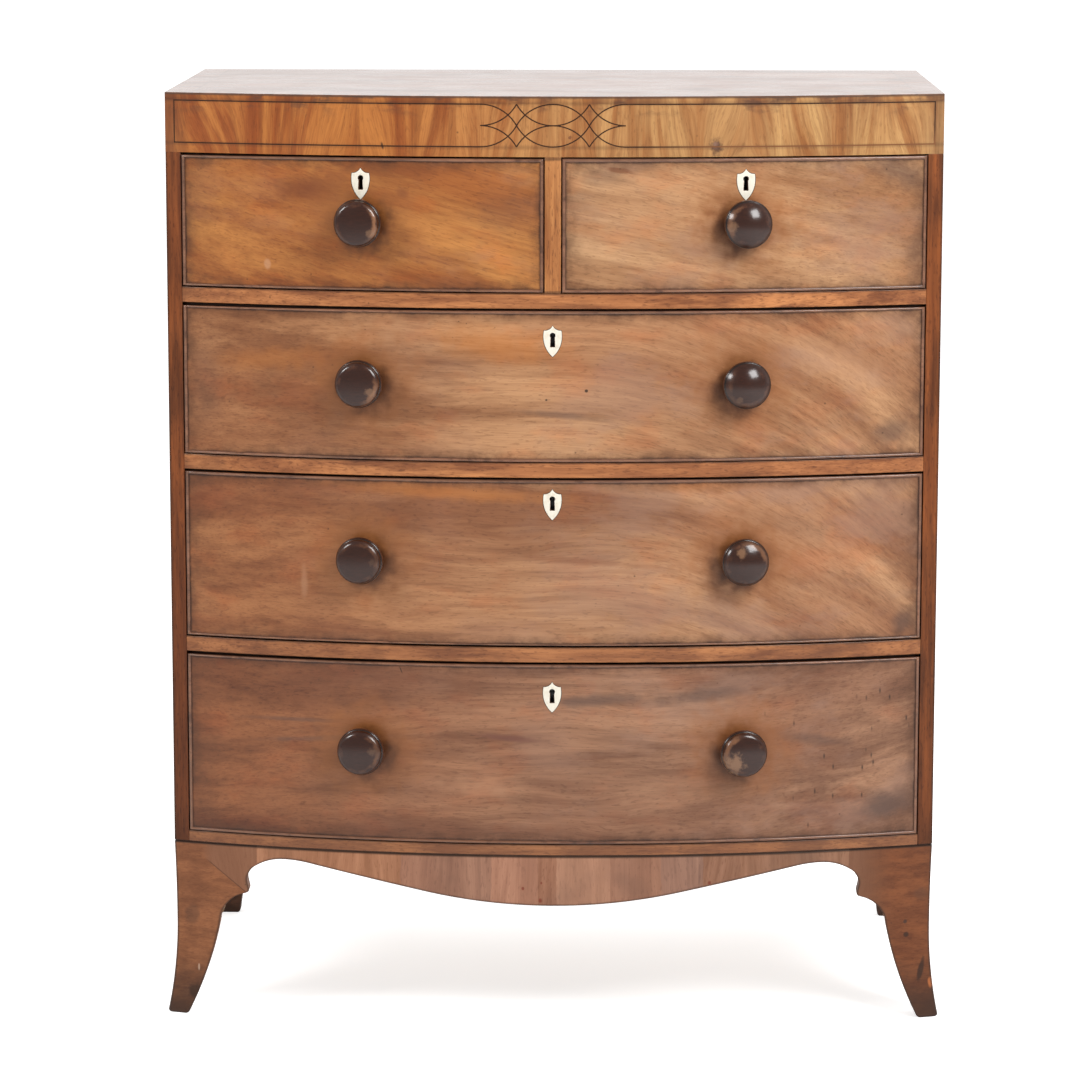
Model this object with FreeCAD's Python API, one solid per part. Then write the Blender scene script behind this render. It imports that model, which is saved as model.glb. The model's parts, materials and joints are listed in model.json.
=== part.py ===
"""Bow front chest of drawers: two short drawers over three long ones, on bracket feet.

Millimetres. +X is to the right of someone who faces the chest, +Y runs from the front to the back, +Z is up.
The origin is on the floor, in the middle of the whole chest, knobs included.
The front is an arc of one large circle, and every front piece is concentric with it: an "inset" is a distance
behind the face of the front, measured towards the centre of that circle.
"""
import FreeCAD, Part
import math
import os

V = FreeCAD.Vector
UP = V(0, 0, 1)

# Driving dimensions: the case
CASE_WIDTH = 900.0
CORNER_DEPTH = 482.0            # front corner to back
BOW_RISE = 70.0                 # how far the middle of the front stands before its corners
SIDE_THICKNESS = 18.0
TOP_BOARD_THICKNESS = 18.0
TOP_VENEER = 1.0
CROSSBAND_WIDTH = 32.0
BACK_THICKNESS = 10.0
BACK_REBATE = 9.0               # how far a back board laps onto a side or the top board
BACK_BOARD_COUNT = 4
BACK_BOARD_GAP = 1.0

# Driving dimensions: the front, from the floor to the top
BASE_HEIGHT = 210.0
BOTTOM_RAIL_HEIGHT = 13.0
LOWER_OPENING = 217.0
MIDDLE_OPENING = 199.0
UPPER_OPENING = 178.0
SHORT_OPENING = 156.0
RAIL_HEIGHT = 18.0
FRIEZE_HEIGHT = 69.0
RAIL_DEPTH = 62.0               # front corner to the rail's straight back edge
RAIL_TENON = 8.0
MUNTIN_WIDTH = 19.0
FACING_THICKNESS = 2.5

# Driving dimensions: the inlaid stringing of the frieze
STRING_WIDTH = 1.5
STRING_DEPTH = 1.0
STRING_END_MARGIN = 11.0        # string to the corner of the case
STRING_TOP_MARGIN = 9.0
STRING_BOTTOM_MARGIN = 11.5
MOTIF_PITCH = 41.5              # half the distance between the two crossings of the motif

# Driving dimensions: runners and dustboards
RUNNER_WIDTH = 34.0
KICKER_WIDTH = 20.0
CENTRE_RUNNER_WIDTH = 60.0
GUIDE_HEIGHT = 30.0
DUSTBOARD_THICKNESS = 8.0
DUSTBOARD_TONGUE = 6.0
STOP_WIDTH = 40.0
STOP_DEPTH = 12.0
STOP_HEIGHT = 5.0

# Driving dimensions: the drawers
DRAWER_SIDE_GAP = 1.2
DRAWER_TOP_GAP = 2.0
DRAWER_BOTTOM_GAP = 0.5
DRAWER_BACK_ROOM = 8.0          # drawer to back boards
DRAWER_STOP_GAP = 0.3
FRONT_THICKNESS = 22.0
LINING_THICKNESS = 9.0
BACK_LINING_THICKNESS = 8.0
SIDE_DROP = 5.0                 # top of a drawer side below the top of the front
BACK_DROP = 6.0                 # top of a drawer back below the top of the sides
PANEL_THICKNESS = 6.0
PANEL_RAISE = 10.0              # bottom panel above the lower edge of the drawer
PANEL_GROOVE = 4.5
DOVETAIL_LAP = 12.0             # wood in front of the lapped dovetails
DOVETAIL_COUNT = 4
DOVETAIL_SHARE = 0.38            # half of a tail at its widest, as a share of the pitch
DOVETAIL_FLARE = 1.6
BEAD_WIDTH = 4.0
BEAD_DEPTH = 10.0
BEAD_PROUD = 2.0
BEAD_FACETS = 4                 # flats that make up the round face of a bead

# Driving dimensions: knobs
KNOB_RADIUS = 28.0
KNOB_RAISE = 2.0                # knob above the middle of its drawer's opening
KNOB_RIM_BACK = 12.5            # from the drawer's face to the back of the rim
KNOB_RIM_FRONT = 23.5           # to the quirk in front of the rim
KNOB_ROLL_RADIUS = 20.8         # circle of the raised roll on the knob's face
KNOB_ROLL_TUBE = 4.0
KNOB_ROLL_CENTRE = 28.15
KNOB_FACE_RADIUS = 17.6         # the domed face inside the roll
KNOB_DOME_HEIGHT = 32.3         # its middle above the drawer's face
KNOB_QUIRK_WIDTH = 1.0
KNOB_BELLY_RADIUS = 25.8        # half way up the back of the rim
KNOB_BELLY_HEIGHT = 15.0
KNOB_SHOULDER_RADIUS = 27.1     # half way down the front of the rim
KNOB_SHOULDER_HEIGHT = 21.2
KNOB_THROAT_RADIUS = 16.0       # where the neck meets the rim
KNOB_NECK_RADIUS = 10.5
KNOB_COLLAR_RADIUS = 14.0
KNOB_COLLAR_HEIGHT = 2.0
KNOB_TENON_RADIUS = 7.0
KNOB_TENON_LENGTH = 18.0

# Driving dimensions: escutcheons, locks and bolts
SHORT_KEY_DROP = 32.0           # middle of the escutcheon below the top of the opening
UPPER_KEY_DROP = 37.0
MIDDLE_KEY_DROP = 31.0
LOWER_KEY_DROP = 41.0
SHIELD_WIDTH = 21.0
SHIELD_HEIGHT = 36.0
SHIELD_ARCS = [                 # its right half as arcs, in halves of its width and height from its middle
    ((0, 1), (0.36, 0.76), (0.95, 0.68)),
    ((0.95, 0.68), (1, 0.2), (0.88, -0.2)),
    ((0.88, -0.2), (0.55, -0.62), (0, -1)),
]
SHIELD_INLAY = 1.6
SHIELD_PROUD = 0.4
KEYHOLE_RADIUS = 3.0
KEYHOLE_RISE = 6.5              # round part of the keyhole above the middle of the shield
KEYHOLE_LENGTH = 13.0
KEYHOLE_SLOT_TOP = 3.6          # widths of the slot
KEYHOLE_SLOT_FOOT = 4.4
LOCK_DEPTH = 11.0
LOCK_PLATE = 1.6
LOCK_WALL = 1.4
LOCK_CASE_WIDTH = 48.0
LOCK_PLATE_WIDTH = 66.0
LOCK_SELVAGE = 2.0
LOCK_BELOW_KEY = 14.0
KEY_PIN_RADIUS = 1.4
BOLT_WIDTH = 18.0
BOLT_THICKNESS = 5.0
BOLT_LENGTH = 16.0
BOLT_THROW = 9.0
BOLT_CLEARANCE = 0.4
SCREW_HEAD_RADIUS = 3.0
SCREW_RADIUS = 1.4
SCREW_LENGTH = 9.0
SCREW_EDGE = 4.0                # screw to the edge of the lock's plate
MORTISE_CLEARANCE = 1.0

# Driving dimensions: apron, feet and blocks
BASE_THICKNESS = 22.0
QUIRK_HEIGHT = 2.0              # shadow groove under the bottom rail
QUIRK_DEPTH = 1.5
FOOT_SPLAY = 10.0
FOOT_WAIST_HEIGHT = 111.0
FOOT_WAIST = 2.0                # the side of a foot draws in this much at its waist
FOOT_WING = 100.0               # case edge to the joint between foot and apron
CREST_BELOW_TOP = 15.0          # crest of the apron's arch below the top of the base
CREST_FROM_EDGE = 138.0
CREST_RADIUS = 140.0
DROP_HALF_WIDTH = 150.0         # half the width of the apron's round drop
APRON_SLOPE = 11.5              # degrees, between crest and drop
WING_ARCH_BELOW_TOP = 24.0      # arch at the joint of foot and apron, below the top of the base
ARCH_BULGE = 2.5                # how round the apron's end arches are
JOINT_BULGE = 2.6               # how round the foot is from its joint with the apron to its neck
NECK_BULGE = 1.0                # and from there to its cusp
NECK = (90.5, 169.0)            # foot outline: distance from the case edge, height
CUSP = (93.0, 151.0)
SHOULDER = (67.0, 138.0)
HEEL = (56.0, 114.0)
SHIN = (41.5, 62.0)
TOE_WIDTH = 15.0                # toe inside the case edge, at the floor
REAR_TOE_WIDTH = 34.0
REAR_SHIN = (44.0, 58.0)
REAR_ARCH_BULGE = -8.0
REAR_SHIN_BULGE = -0.8
BLOCK_SIZE = 34.0
BLOCK_LENGTH = 91.0             # corner blocks, down from the top of the base
APRON_BLOCK = (30.0, 18.0, 22.0)
APRON_BLOCK_PITCH = 90.0
NAIL_RADIUS = 1.2
NAIL_HEAD_RADIUS = 3.0
NAIL_HEAD = 1.0
NAIL_LENGTH = 22.0

MARGIN = 5.0                    # how far a cutting tool runs past what it cuts

# Derived places
HALF_WIDTH = CASE_WIDTH / 2
INSIDE = HALF_WIDTH - SIDE_THICKNESS
BOW_RADIUS = (HALF_WIDTH ** 2 + BOW_RISE ** 2) / (2 * BOW_RISE)
WING_JOINT = (FOOT_WING, BASE_HEIGHT - WING_ARCH_BELOW_TOP)
TOE_REACH = FOOT_SPLAY + MARGIN
SHORT_CENTRE = (MUNTIN_WIDTH / 2 + INSIDE) / 2
KNOB_TURN = math.asin(SHORT_CENTRE / BOW_RADIUS)
KNOB_REACH = (KNOB_ROLL_CENTRE * math.cos(KNOB_TURN) + KNOB_ROLL_RADIUS * math.sin(KNOB_TURN)
              + KNOB_ROLL_TUBE)
FRONT_REACH = BOW_RISE - BOW_RADIUS * (1 - math.cos(KNOB_TURN)) + KNOB_REACH
CORNER_Y = (FRONT_REACH - CORNER_DEPTH) / 2
BACK_Y = CORNER_Y + CORNER_DEPTH
INNER_BACK_Y = BACK_Y - BACK_THICKNESS
AXIS_Y = CORNER_Y - BOW_RISE + BOW_RADIUS
RAIL_BACK_Y = CORNER_Y + RAIL_DEPTH

LOWER_FLOOR = BASE_HEIGHT + BOTTOM_RAIL_HEIGHT
MIDDLE_FLOOR = LOWER_FLOOR + LOWER_OPENING + RAIL_HEIGHT
UPPER_FLOOR = MIDDLE_FLOOR + MIDDLE_OPENING + RAIL_HEIGHT
SHORT_FLOOR = UPPER_FLOOR + UPPER_OPENING + RAIL_HEIGHT
FRIEZE_FLOOR = SHORT_FLOOR + SHORT_OPENING
CASE_HEIGHT = FRIEZE_FLOOR + FRIEZE_HEIGHT
BOARD_TOP = CASE_HEIGHT - TOP_VENEER
TOP_UNDERSIDE = BOARD_TOP - TOP_BOARD_THICKNESS
RAIL_FLOORS = [floor - RAIL_HEIGHT for floor in (MIDDLE_FLOOR, UPPER_FLOOR, SHORT_FLOOR)]

# name, opening from x to x, its floor and height, drop of the keyhole, the knobs' places
DRAWERS = [
    ("short_left", -INSIDE, -MUNTIN_WIDTH / 2, SHORT_FLOOR, SHORT_OPENING, SHORT_KEY_DROP, [-SHORT_CENTRE]),
    ("short_right", MUNTIN_WIDTH / 2, INSIDE, SHORT_FLOOR, SHORT_OPENING, SHORT_KEY_DROP, [SHORT_CENTRE]),
    ("long_upper", -INSIDE, INSIDE, UPPER_FLOOR, UPPER_OPENING, UPPER_KEY_DROP,
     [-SHORT_CENTRE, SHORT_CENTRE]),
    ("long_middle", -INSIDE, INSIDE, MIDDLE_FLOOR, MIDDLE_OPENING, MIDDLE_KEY_DROP,
     [-SHORT_CENTRE, SHORT_CENTRE]),
    ("long_lower", -INSIDE, INSIDE, LOWER_FLOOR, LOWER_OPENING, LOWER_KEY_DROP,
     [-SHORT_CENTRE, SHORT_CENTRE]),
]

parts = {}


# Shapes that the whole chest shares

def box(x0, x1, y0, y1, z0, z1):
    return Part.makeBox(x1 - x0, y1 - y0, z1 - z0, V(x0, y0, z0))


def front_y(x, inset=0.0):
    """Where the bowed face lies at x, or the surface the given inset behind it."""
    return AXIS_Y - math.sqrt((BOW_RADIUS - inset) ** 2 - x ** 2)


def line(a, b):
    return Part.LineSegment(V(*a), V(*b)).toShape()


def arc(a, middle, b):
    return Part.Arc(V(*a), V(*middle), V(*b)).toShape()


def bow_edge(xa, xb, inset, z):
    """An arc of the bow from xa to xb."""
    places = [(x, front_y(x, inset), z) for x in (xa, (xa + xb) / 2, xb)]
    return arc(*places)


def prism(edges, direction):
    return Part.Face(Part.Wire(edges)).extrude(direction)


def bowed_block(x0, x1, back, z0, z1, inset=0.0):
    """A board with a bowed front edge and a straight back."""
    edges = [bow_edge(x0, x1, inset, z0),
             line((x1, front_y(x1, inset), z0), (x1, back, z0)),
             line((x1, back, z0), (x0, back, z0)),
             line((x0, back, z0), (x0, front_y(x0, inset), z0))]
    return prism(edges, V(0, 0, z1 - z0))


def bowed_shell(x0, x1, outer, inner, z0, z1):
    """A bent board between two insets."""
    edges = [bow_edge(x0, x1, outer, z0),
             line((x1, front_y(x1, outer), z0), (x1, front_y(x1, inner), z0)),
             bow_edge(x1, x0, inner, z0),
             line((x0, front_y(x0, inner), z0), (x0, front_y(x0, outer), z0))]
    return prism(edges, V(0, 0, z1 - z0))


def inset_y(inset):
    """An inset at the middle of the front, as a y."""
    return AXIS_Y - BOW_RADIUS + inset


def on_bow(shape, x):
    """Carries a shape made at the middle of the front round the bow to x."""
    turned = shape.copy()
    turned.rotate(V(0, AXIS_Y, 0), UP, math.degrees(math.asin(x / BOW_RADIUS)))
    return turned


def mirrored(shape):
    return shape.mirror(V(0, 0, 0), V(1, 0, 0))


def fused(first, *others):
    return first.fuse(list(others)).removeSplitter()


def group(*shapes):
    solids = [solid for shape in shapes for solid in shape.Solids]
    return Part.makeCompound(solids)


# Top, sides, bottom and back

def back_rebate(z0, z1):
    return box(-INSIDE - BACK_REBATE, INSIDE + BACK_REBATE, INNER_BACK_Y, BACK_Y + MARGIN, z0, z1)


def top_board():
    board = bowed_block(-HALF_WIDTH, HALF_WIDTH, BACK_Y, TOP_UNDERSIDE, BOARD_TOP, FACING_THICKNESS)
    return board.cut(back_rebate(TOP_UNDERSIDE - MARGIN, TOP_UNDERSIDE + BACK_REBATE))


def top_veneers():
    inner = HALF_WIDTH - CROSSBAND_WIDTH
    right = bowed_block(inner, HALF_WIDTH, BACK_Y, BOARD_TOP, CASE_HEIGHT)
    front = bowed_shell(-inner, inner, 0, CROSSBAND_WIDTH, BOARD_TOP, CASE_HEIGHT)
    field = bowed_block(-inner, inner, BACK_Y, BOARD_TOP, CASE_HEIGHT, CROSSBAND_WIDTH)
    return group(mirrored(right), right, front, field)


def rail_tenons(z, height, thickness):
    """Stub tenons at both ends of a rail, set back from the front and the rail's faces."""
    shoulder = (height - thickness) / 2
    return box(-INSIDE - RAIL_TENON, INSIDE + RAIL_TENON, CORNER_Y + RAIL_DEPTH / 3, RAIL_BACK_Y - MARGIN,
               z + shoulder, z + height - shoulder)


def case_side():
    """The right side; its front edge is the stile, and it is set back behind the frieze's facing."""
    stile = bowed_block(INSIDE, HALF_WIDTH, BACK_Y, BASE_HEIGHT, FRIEZE_FLOOR)
    head = bowed_block(INSIDE, HALF_WIDTH, BACK_Y, FRIEZE_FLOOR, TOP_UNDERSIDE, FACING_THICKNESS)
    side = fused(stile, head)
    side = side.cut(back_rebate(BASE_HEIGHT - MARGIN, TOP_UNDERSIDE + MARGIN))
    for floor in RAIL_FLOORS:
        side = side.cut(rail_tenons(floor, RAIL_HEIGHT, RAIL_HEIGHT / 2))
    return side


def back_boards():
    width = 2 * (INSIDE + BACK_REBATE)
    pitch = width / BACK_BOARD_COUNT
    boards = []
    for i in range(BACK_BOARD_COUNT):
        x = -width / 2 + i * pitch
        boards.append(box(x + BACK_BOARD_GAP / 2, x + pitch - BACK_BOARD_GAP / 2, INNER_BACK_Y, BACK_Y,
                          BASE_HEIGHT, TOP_UNDERSIDE + BACK_REBATE))
    return group(*boards)


def back_nails():
    """Two nails at each end of each back board, into the top board and the bottom board."""
    pitch = 2 * (INSIDE + BACK_REBATE) / BACK_BOARD_COUNT
    nails = []
    for i in range(2 * BACK_BOARD_COUNT):
        x = (i - BACK_BOARD_COUNT + 0.5) * pitch / 2
        for z in (BASE_HEIGHT + BOTTOM_RAIL_HEIGHT / 2, TOP_UNDERSIDE + BACK_REBATE / 2):
            head = Part.makeCylinder(NAIL_HEAD_RADIUS, NAIL_HEAD, V(x, BACK_Y - NAIL_HEAD, z), V(0, 1, 0))
            shank = Part.makeCylinder(NAIL_RADIUS, NAIL_LENGTH, V(x, BACK_Y - NAIL_LENGTH, z), V(0, 1, 0))
            nails.append(fused(head, shank))
    return group(*nails)


# Frieze, rails and muntin

def bolt_mortise(x, z):
    """A slot for a lock's bolt in the underside of a rail at height z."""
    room = BOLT_CLEARANCE + MORTISE_CLEARANCE
    middle = inset_y(FRONT_THICKNESS - LOCK_DEPTH / 2)
    half_width, half_depth = BOLT_WIDTH / 2 + room, BOLT_THICKNESS / 2 + room
    slot = box(-half_width, half_width, middle - half_depth, middle + half_depth, z - MARGIN,
               z + BOLT_THROW + MORTISE_CLEARANCE - DRAWER_TOP_GAP)
    return on_bow(slot, x)


def frieze_rail():
    rail = bowed_block(-INSIDE, INSIDE, RAIL_BACK_Y, FRIEZE_FLOOR, TOP_UNDERSIDE, FACING_THICKNESS)
    for x in (-SHORT_CENTRE, SHORT_CENTRE):
        rail = rail.cut(bolt_mortise(x, FRIEZE_FLOOR))
    return rail


def front_rail(floor):
    rail = bowed_block(-INSIDE, INSIDE, RAIL_BACK_Y, floor, floor + RAIL_HEIGHT)
    rail = fused(rail, rail_tenons(floor, RAIL_HEIGHT, RAIL_HEIGHT / 2))
    return rail.cut(bolt_mortise(0, floor))


def muntin():
    return bowed_block(-MUNTIN_WIDTH / 2, MUNTIN_WIDTH / 2, RAIL_BACK_Y, SHORT_FLOOR, FRIEZE_FLOOR)


def stroke(x0, z0, x1, z1):
    """A string whose line starts level at (x0, z0) and bends to (x1, z1) as an arc, or runs straight."""
    near = front_y(0) - MARGIN
    reach = V(0, BOW_RISE + 2 * MARGIN, 0)
    half = STRING_WIDTH / 2
    if x0 == x1 or z0 == z1:
        return box(min(x0, x1) - half, max(x0, x1) + half, near, near + reach.y, min(z0, z1) - half,
                   max(z0, z1) + half)
    rise = z1 - z0
    radius = ((x1 - x0) ** 2 + rise ** 2) / (2 * abs(rise))
    centre_z = z0 + math.copysign(radius, rise)
    turn = math.asin((x1 - x0) / radius)

    def at(r, angle):
        return (x0 + r * math.sin(angle), near, centre_z - math.copysign(r, rise) * math.cos(angle))

    outer, inner = radius + half, radius - half
    edges = [arc(at(outer, 0), at(outer, turn / 2), at(outer, turn)),
             line(at(outer, turn), at(inner, turn)),
             arc(at(inner, turn), at(inner, turn / 2), at(inner, 0)),
             line(at(inner, 0), at(outer, 0))]
    return prism(edges, reach)


def frieze_strings():
    """A rectangle of stringing whose long sides cross over twice in the middle, laced with a second pair."""
    low = FRIEZE_FLOOR + STRING_BOTTOM_MARGIN
    high = CASE_HEIGHT - STRING_TOP_MARGIN
    middle = (low + high) / 2
    end = HALF_WIDTH - STRING_END_MARGIN
    pitch = MOTIF_PITCH
    strokes = []
    for side in (-1, 1):
        strokes.append(stroke(side * end, low, side * end, high))
        for z in (low, high):
            strokes.append(stroke(side * end, z, side * 2 * pitch, z))
            strokes.append(stroke(side * 2 * pitch, z, side * pitch, middle))
            strokes.append(stroke(0, z, side * pitch, middle))
            strokes.append(stroke(side * 2 * pitch, middle, side * pitch, z))
            strokes.append(stroke(0, middle, side * pitch, z))
    network = strokes[0].fuse(strokes[1:])
    skin = bowed_shell(-HALF_WIDTH, HALF_WIDTH, 0, STRING_DEPTH, FRIEZE_FLOOR, BOARD_TOP)
    return network.common(skin).removeSplitter()


# Runners, dustboards and stops

def runners():
    """Runners behind each rail, kickers under the top, and the guide between the short drawers."""
    strips = []
    for floor in RAIL_FLOORS:
        strips.append(box(INSIDE - RUNNER_WIDTH, INSIDE, RAIL_BACK_Y, INNER_BACK_Y,
                          floor, floor + RAIL_HEIGHT))
    strips.append(box(INSIDE - KICKER_WIDTH, INSIDE, RAIL_BACK_Y, INNER_BACK_Y, FRIEZE_FLOOR, TOP_UNDERSIDE))
    strips += [mirrored(strip) for strip in strips]
    half = CENTRE_RUNNER_WIDTH / 2
    strips.append(box(-half, half, RAIL_BACK_Y, INNER_BACK_Y, SHORT_FLOOR - RAIL_HEIGHT, SHORT_FLOOR))
    strips.append(box(-half, half, RAIL_BACK_Y, INNER_BACK_Y, FRIEZE_FLOOR, TOP_UNDERSIDE))
    strips.append(box(-MUNTIN_WIDTH / 2, MUNTIN_WIDTH / 2, RAIL_BACK_Y, INNER_BACK_Y, SHORT_FLOOR,
                      SHORT_FLOOR + GUIDE_HEIGHT))
    return group(*strips)


def dustboards():
    tongue = DUSTBOARD_TONGUE
    reach = INSIDE - RUNNER_WIDTH + tongue
    boards = []
    for floor in RAIL_FLOORS:
        z = floor + (RAIL_HEIGHT - DUSTBOARD_THICKNESS) / 2
        inner = CENTRE_RUNNER_WIDTH / 2 - tongue if floor == RAIL_FLOORS[-1] else 0
        for side in (-1, 1) if inner else (0,):
            x0, x1 = sorted((side * inner, side * reach)) if side else (-reach, reach)
            boards.append(box(x0, x1, RAIL_BACK_Y - tongue, INNER_BACK_Y, z, z + DUSTBOARD_THICKNESS))
    return group(*boards)


def drawer_stops():
    """Small blocks on the rails that the drawer fronts meet when shut."""
    near = inset_y(FRONT_THICKNESS + DRAWER_STOP_GAP)
    stops = []
    for name, x0, x1, floor, height, drop, knobs in DRAWERS:
        middle = (x0 + x1) / 2
        spread = (x1 - x0) / 4
        for x in (middle - spread, middle + spread):
            block = box(-STOP_WIDTH / 2, STOP_WIDTH / 2, near, near + STOP_DEPTH, floor, floor + STOP_HEIGHT)
            stops.append(on_bow(block, x))
    return group(*stops)


# Apron and feet

def splay_profile(inner, face, waist, direction):
    """Section of a foot's leg from the floor to the top of the base, as edges in a plane across its face.

    The face is flush with the case at the top, draws in to its waist, then splays out to the toe.
    direction turns (distance from the face, height) into a point.
    """
    fall = FOOT_SPLAY + waist
    low_radius = (FOOT_WAIST_HEIGHT ** 2 + fall ** 2) / (2 * fall)
    half_low = FOOT_WAIST_HEIGHT / 2
    low_middle = face - waist + low_radius - math.sqrt(low_radius ** 2 - half_low ** 2)
    top = BASE_HEIGHT - QUIRK_HEIGHT
    toe = (face + FOOT_SPLAY, 0)
    waist_point = (face - waist, FOOT_WAIST_HEIGHT)
    edges = [line(direction(inner, 0), direction(*toe)),
             arc(direction(*toe), direction(low_middle, half_low), direction(*waist_point))]
    if waist:
        rise = top - FOOT_WAIST_HEIGHT
        high_radius = (rise ** 2 + waist ** 2) / (2 * waist)
        high_middle = face - waist + high_radius - math.sqrt(high_radius ** 2 - (rise / 2) ** 2)
        edges.append(arc(direction(*waist_point), direction(high_middle, FOOT_WAIST_HEIGHT + rise / 2),
                         direction(face, top)))
    else:
        edges.append(line(direction(*waist_point), direction(face, top)))
    quirk = face - QUIRK_DEPTH
    corners = [(face, top), (quirk, top), (quirk, BASE_HEIGHT), (inner, BASE_HEIGHT), (inner, 0)]
    edges += [line(direction(*a), direction(*b)) for a, b in zip(corners, corners[1:])]
    return edges


def front_leg(depth):
    """The front face of the base all round the bow, the given depth thick."""
    section = splay_profile(BOW_RADIUS - depth, BOW_RADIUS, 0, lambda r, z: (0, AXIS_Y - r, z))
    ring = Part.Face(Part.Wire(section))
    turn = math.degrees(math.asin((HALF_WIDTH + TOE_REACH) / BOW_RADIUS))
    return ring.revolve(V(0, AXIS_Y, 0), UP, turn)


def side_leg(depth):
    """The right face of the base from front to back, the given depth thick."""
    start = front_y(0) - TOE_REACH
    section = splay_profile(HALF_WIDTH - depth, HALF_WIDTH, FOOT_WAIST, lambda x, z: (x, start, z))
    return prism(section, V(0, BACK_Y - start, 0))


def foot_outline(edge, inward, direction, toe, lower):
    """Outline of one leg of a bracket foot, seen square on, from the joint with the apron to past its toe.

    edge is the place of the case's edge and inward the sign of the way from there to the middle; lower are
    the outline's stretches between the joint and the toe, as arcs (middle, end) in (distance, height).
    """
    def at(distance, z):
        return direction(edge + inward * distance, z)

    edges = [line(at(-TOE_REACH, -MARGIN), at(-TOE_REACH, BASE_HEIGHT)),
             line(at(-TOE_REACH, BASE_HEIGHT), at(FOOT_WING, BASE_HEIGHT)),
             line(at(FOOT_WING, BASE_HEIGHT), at(*WING_JOINT))]
    place = WING_JOINT
    for middle, end in lower:
        edges.append(arc(at(*place), at(*middle), at(*end)))
        place = end
    edges.append(line(at(*place), at(toe, -MARGIN)))
    edges.append(line(at(toe, -MARGIN), at(-TOE_REACH, -MARGIN)))
    return edges


def between(a, b, bulge):
    """The middle of two points, moved by bulge square to the line that joins them."""
    dx, dz = b[0] - a[0], b[1] - a[1]
    length = math.hypot(dx, dz)
    return ((a[0] + b[0]) / 2 - bulge * dz / length, (a[1] + b[1]) / 2 + bulge * dx / length)


def cusped_outline(edge, inward, direction):
    """Arch, neck, cusp, shoulder and shin of a shaped leg."""
    lower = [(between(WING_JOINT, NECK, JOINT_BULGE), NECK),
             (between(NECK, CUSP, NECK_BULGE), CUSP),
             (SHOULDER, HEEL),
             (SHIN, (TOE_WIDTH, 0))]
    return foot_outline(edge, inward, direction, TOE_WIDTH, lower)


def side_outline(edge, inward):
    """The room of a foot's leg along the right side."""
    return prism(cusped_outline(edge, inward, lambda y, z: (HALF_WIDTH - RAIL_DEPTH, y, z)),
                 V(RAIL_DEPTH + TOE_REACH, 0, 0))


def behind_shin(edge, inward, direction, sweep):
    """The room behind a leg's shin, below its heel, swept right through the foot.

    Taking it away trims the back of the other leg to the same shin, down to a narrow toe.
    """
    def at(distance, z):
        return direction(edge + inward * distance, z)

    far = FOOT_WING + MARGIN
    edges = [arc(at(*HEEL), at(*SHIN), at(TOE_WIDTH, 0)),
             line(at(TOE_WIDTH, 0), at(TOE_WIDTH, -MARGIN)),
             line(at(TOE_WIDTH, -MARGIN), at(far, -MARGIN)),
             line(at(far, -MARGIN), at(far, HEEL[1])),
             line(at(far, HEEL[1]), at(*HEEL))]
    return prism(edges, sweep)


def behind_flank_shin(edge, inward):
    """The room behind the shin of the leg along the right side."""
    start = HALF_WIDTH - FOOT_WING - MARGIN
    return behind_shin(edge, inward, lambda y, z: (start, y, z), V(FOOT_WING + 2 * TOE_REACH, 0, 0))


def front_foot():
    """The right front foot: two legs that meet at the corner, both splayed."""
    near = front_y(0) - TOE_REACH
    face_outline = prism(cusped_outline(HALF_WIDTH, -1, lambda x, z: (x, near, z)),
                         V(0, RAIL_BACK_Y - near, 0))
    flank_outline = side_outline(CORNER_Y, 1)
    everything = FOOT_WING + RAIL_DEPTH
    face = front_leg(BASE_THICKNESS).common(face_outline).common(side_leg(everything))
    flank = side_leg(BASE_THICKNESS).common(flank_outline).common(front_leg(everything))
    behind_face = behind_shin(HALF_WIDTH, -1, lambda x, z: (x, near, z), V(0, everything, 0))
    return fused(face.cut(behind_flank_shin(CORNER_Y, 1)), flank.cut(behind_face))


def rear_foot():
    """The right rear foot: a shaped leg along the side, and a plain bracket along the back."""
    flank = side_leg(BASE_THICKNESS).common(side_outline(BACK_Y, -1))
    toe = (REAR_TOE_WIDTH, 0)
    lower = [(between(WING_JOINT, REAR_SHIN, REAR_ARCH_BULGE), REAR_SHIN),
             (between(REAR_SHIN, toe, REAR_SHIN_BULGE), toe)]
    back_outline = prism(foot_outline(HALF_WIDTH, -1, lambda x, z: (x, BACK_Y - BASE_THICKNESS, z),
                                      REAR_TOE_WIDTH, lower), V(0, BASE_THICKNESS, 0))
    bracket = side_leg(FOOT_WING).common(back_outline).cut(behind_flank_shin(BACK_Y, -1))
    return fused(flank, bracket)


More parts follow.
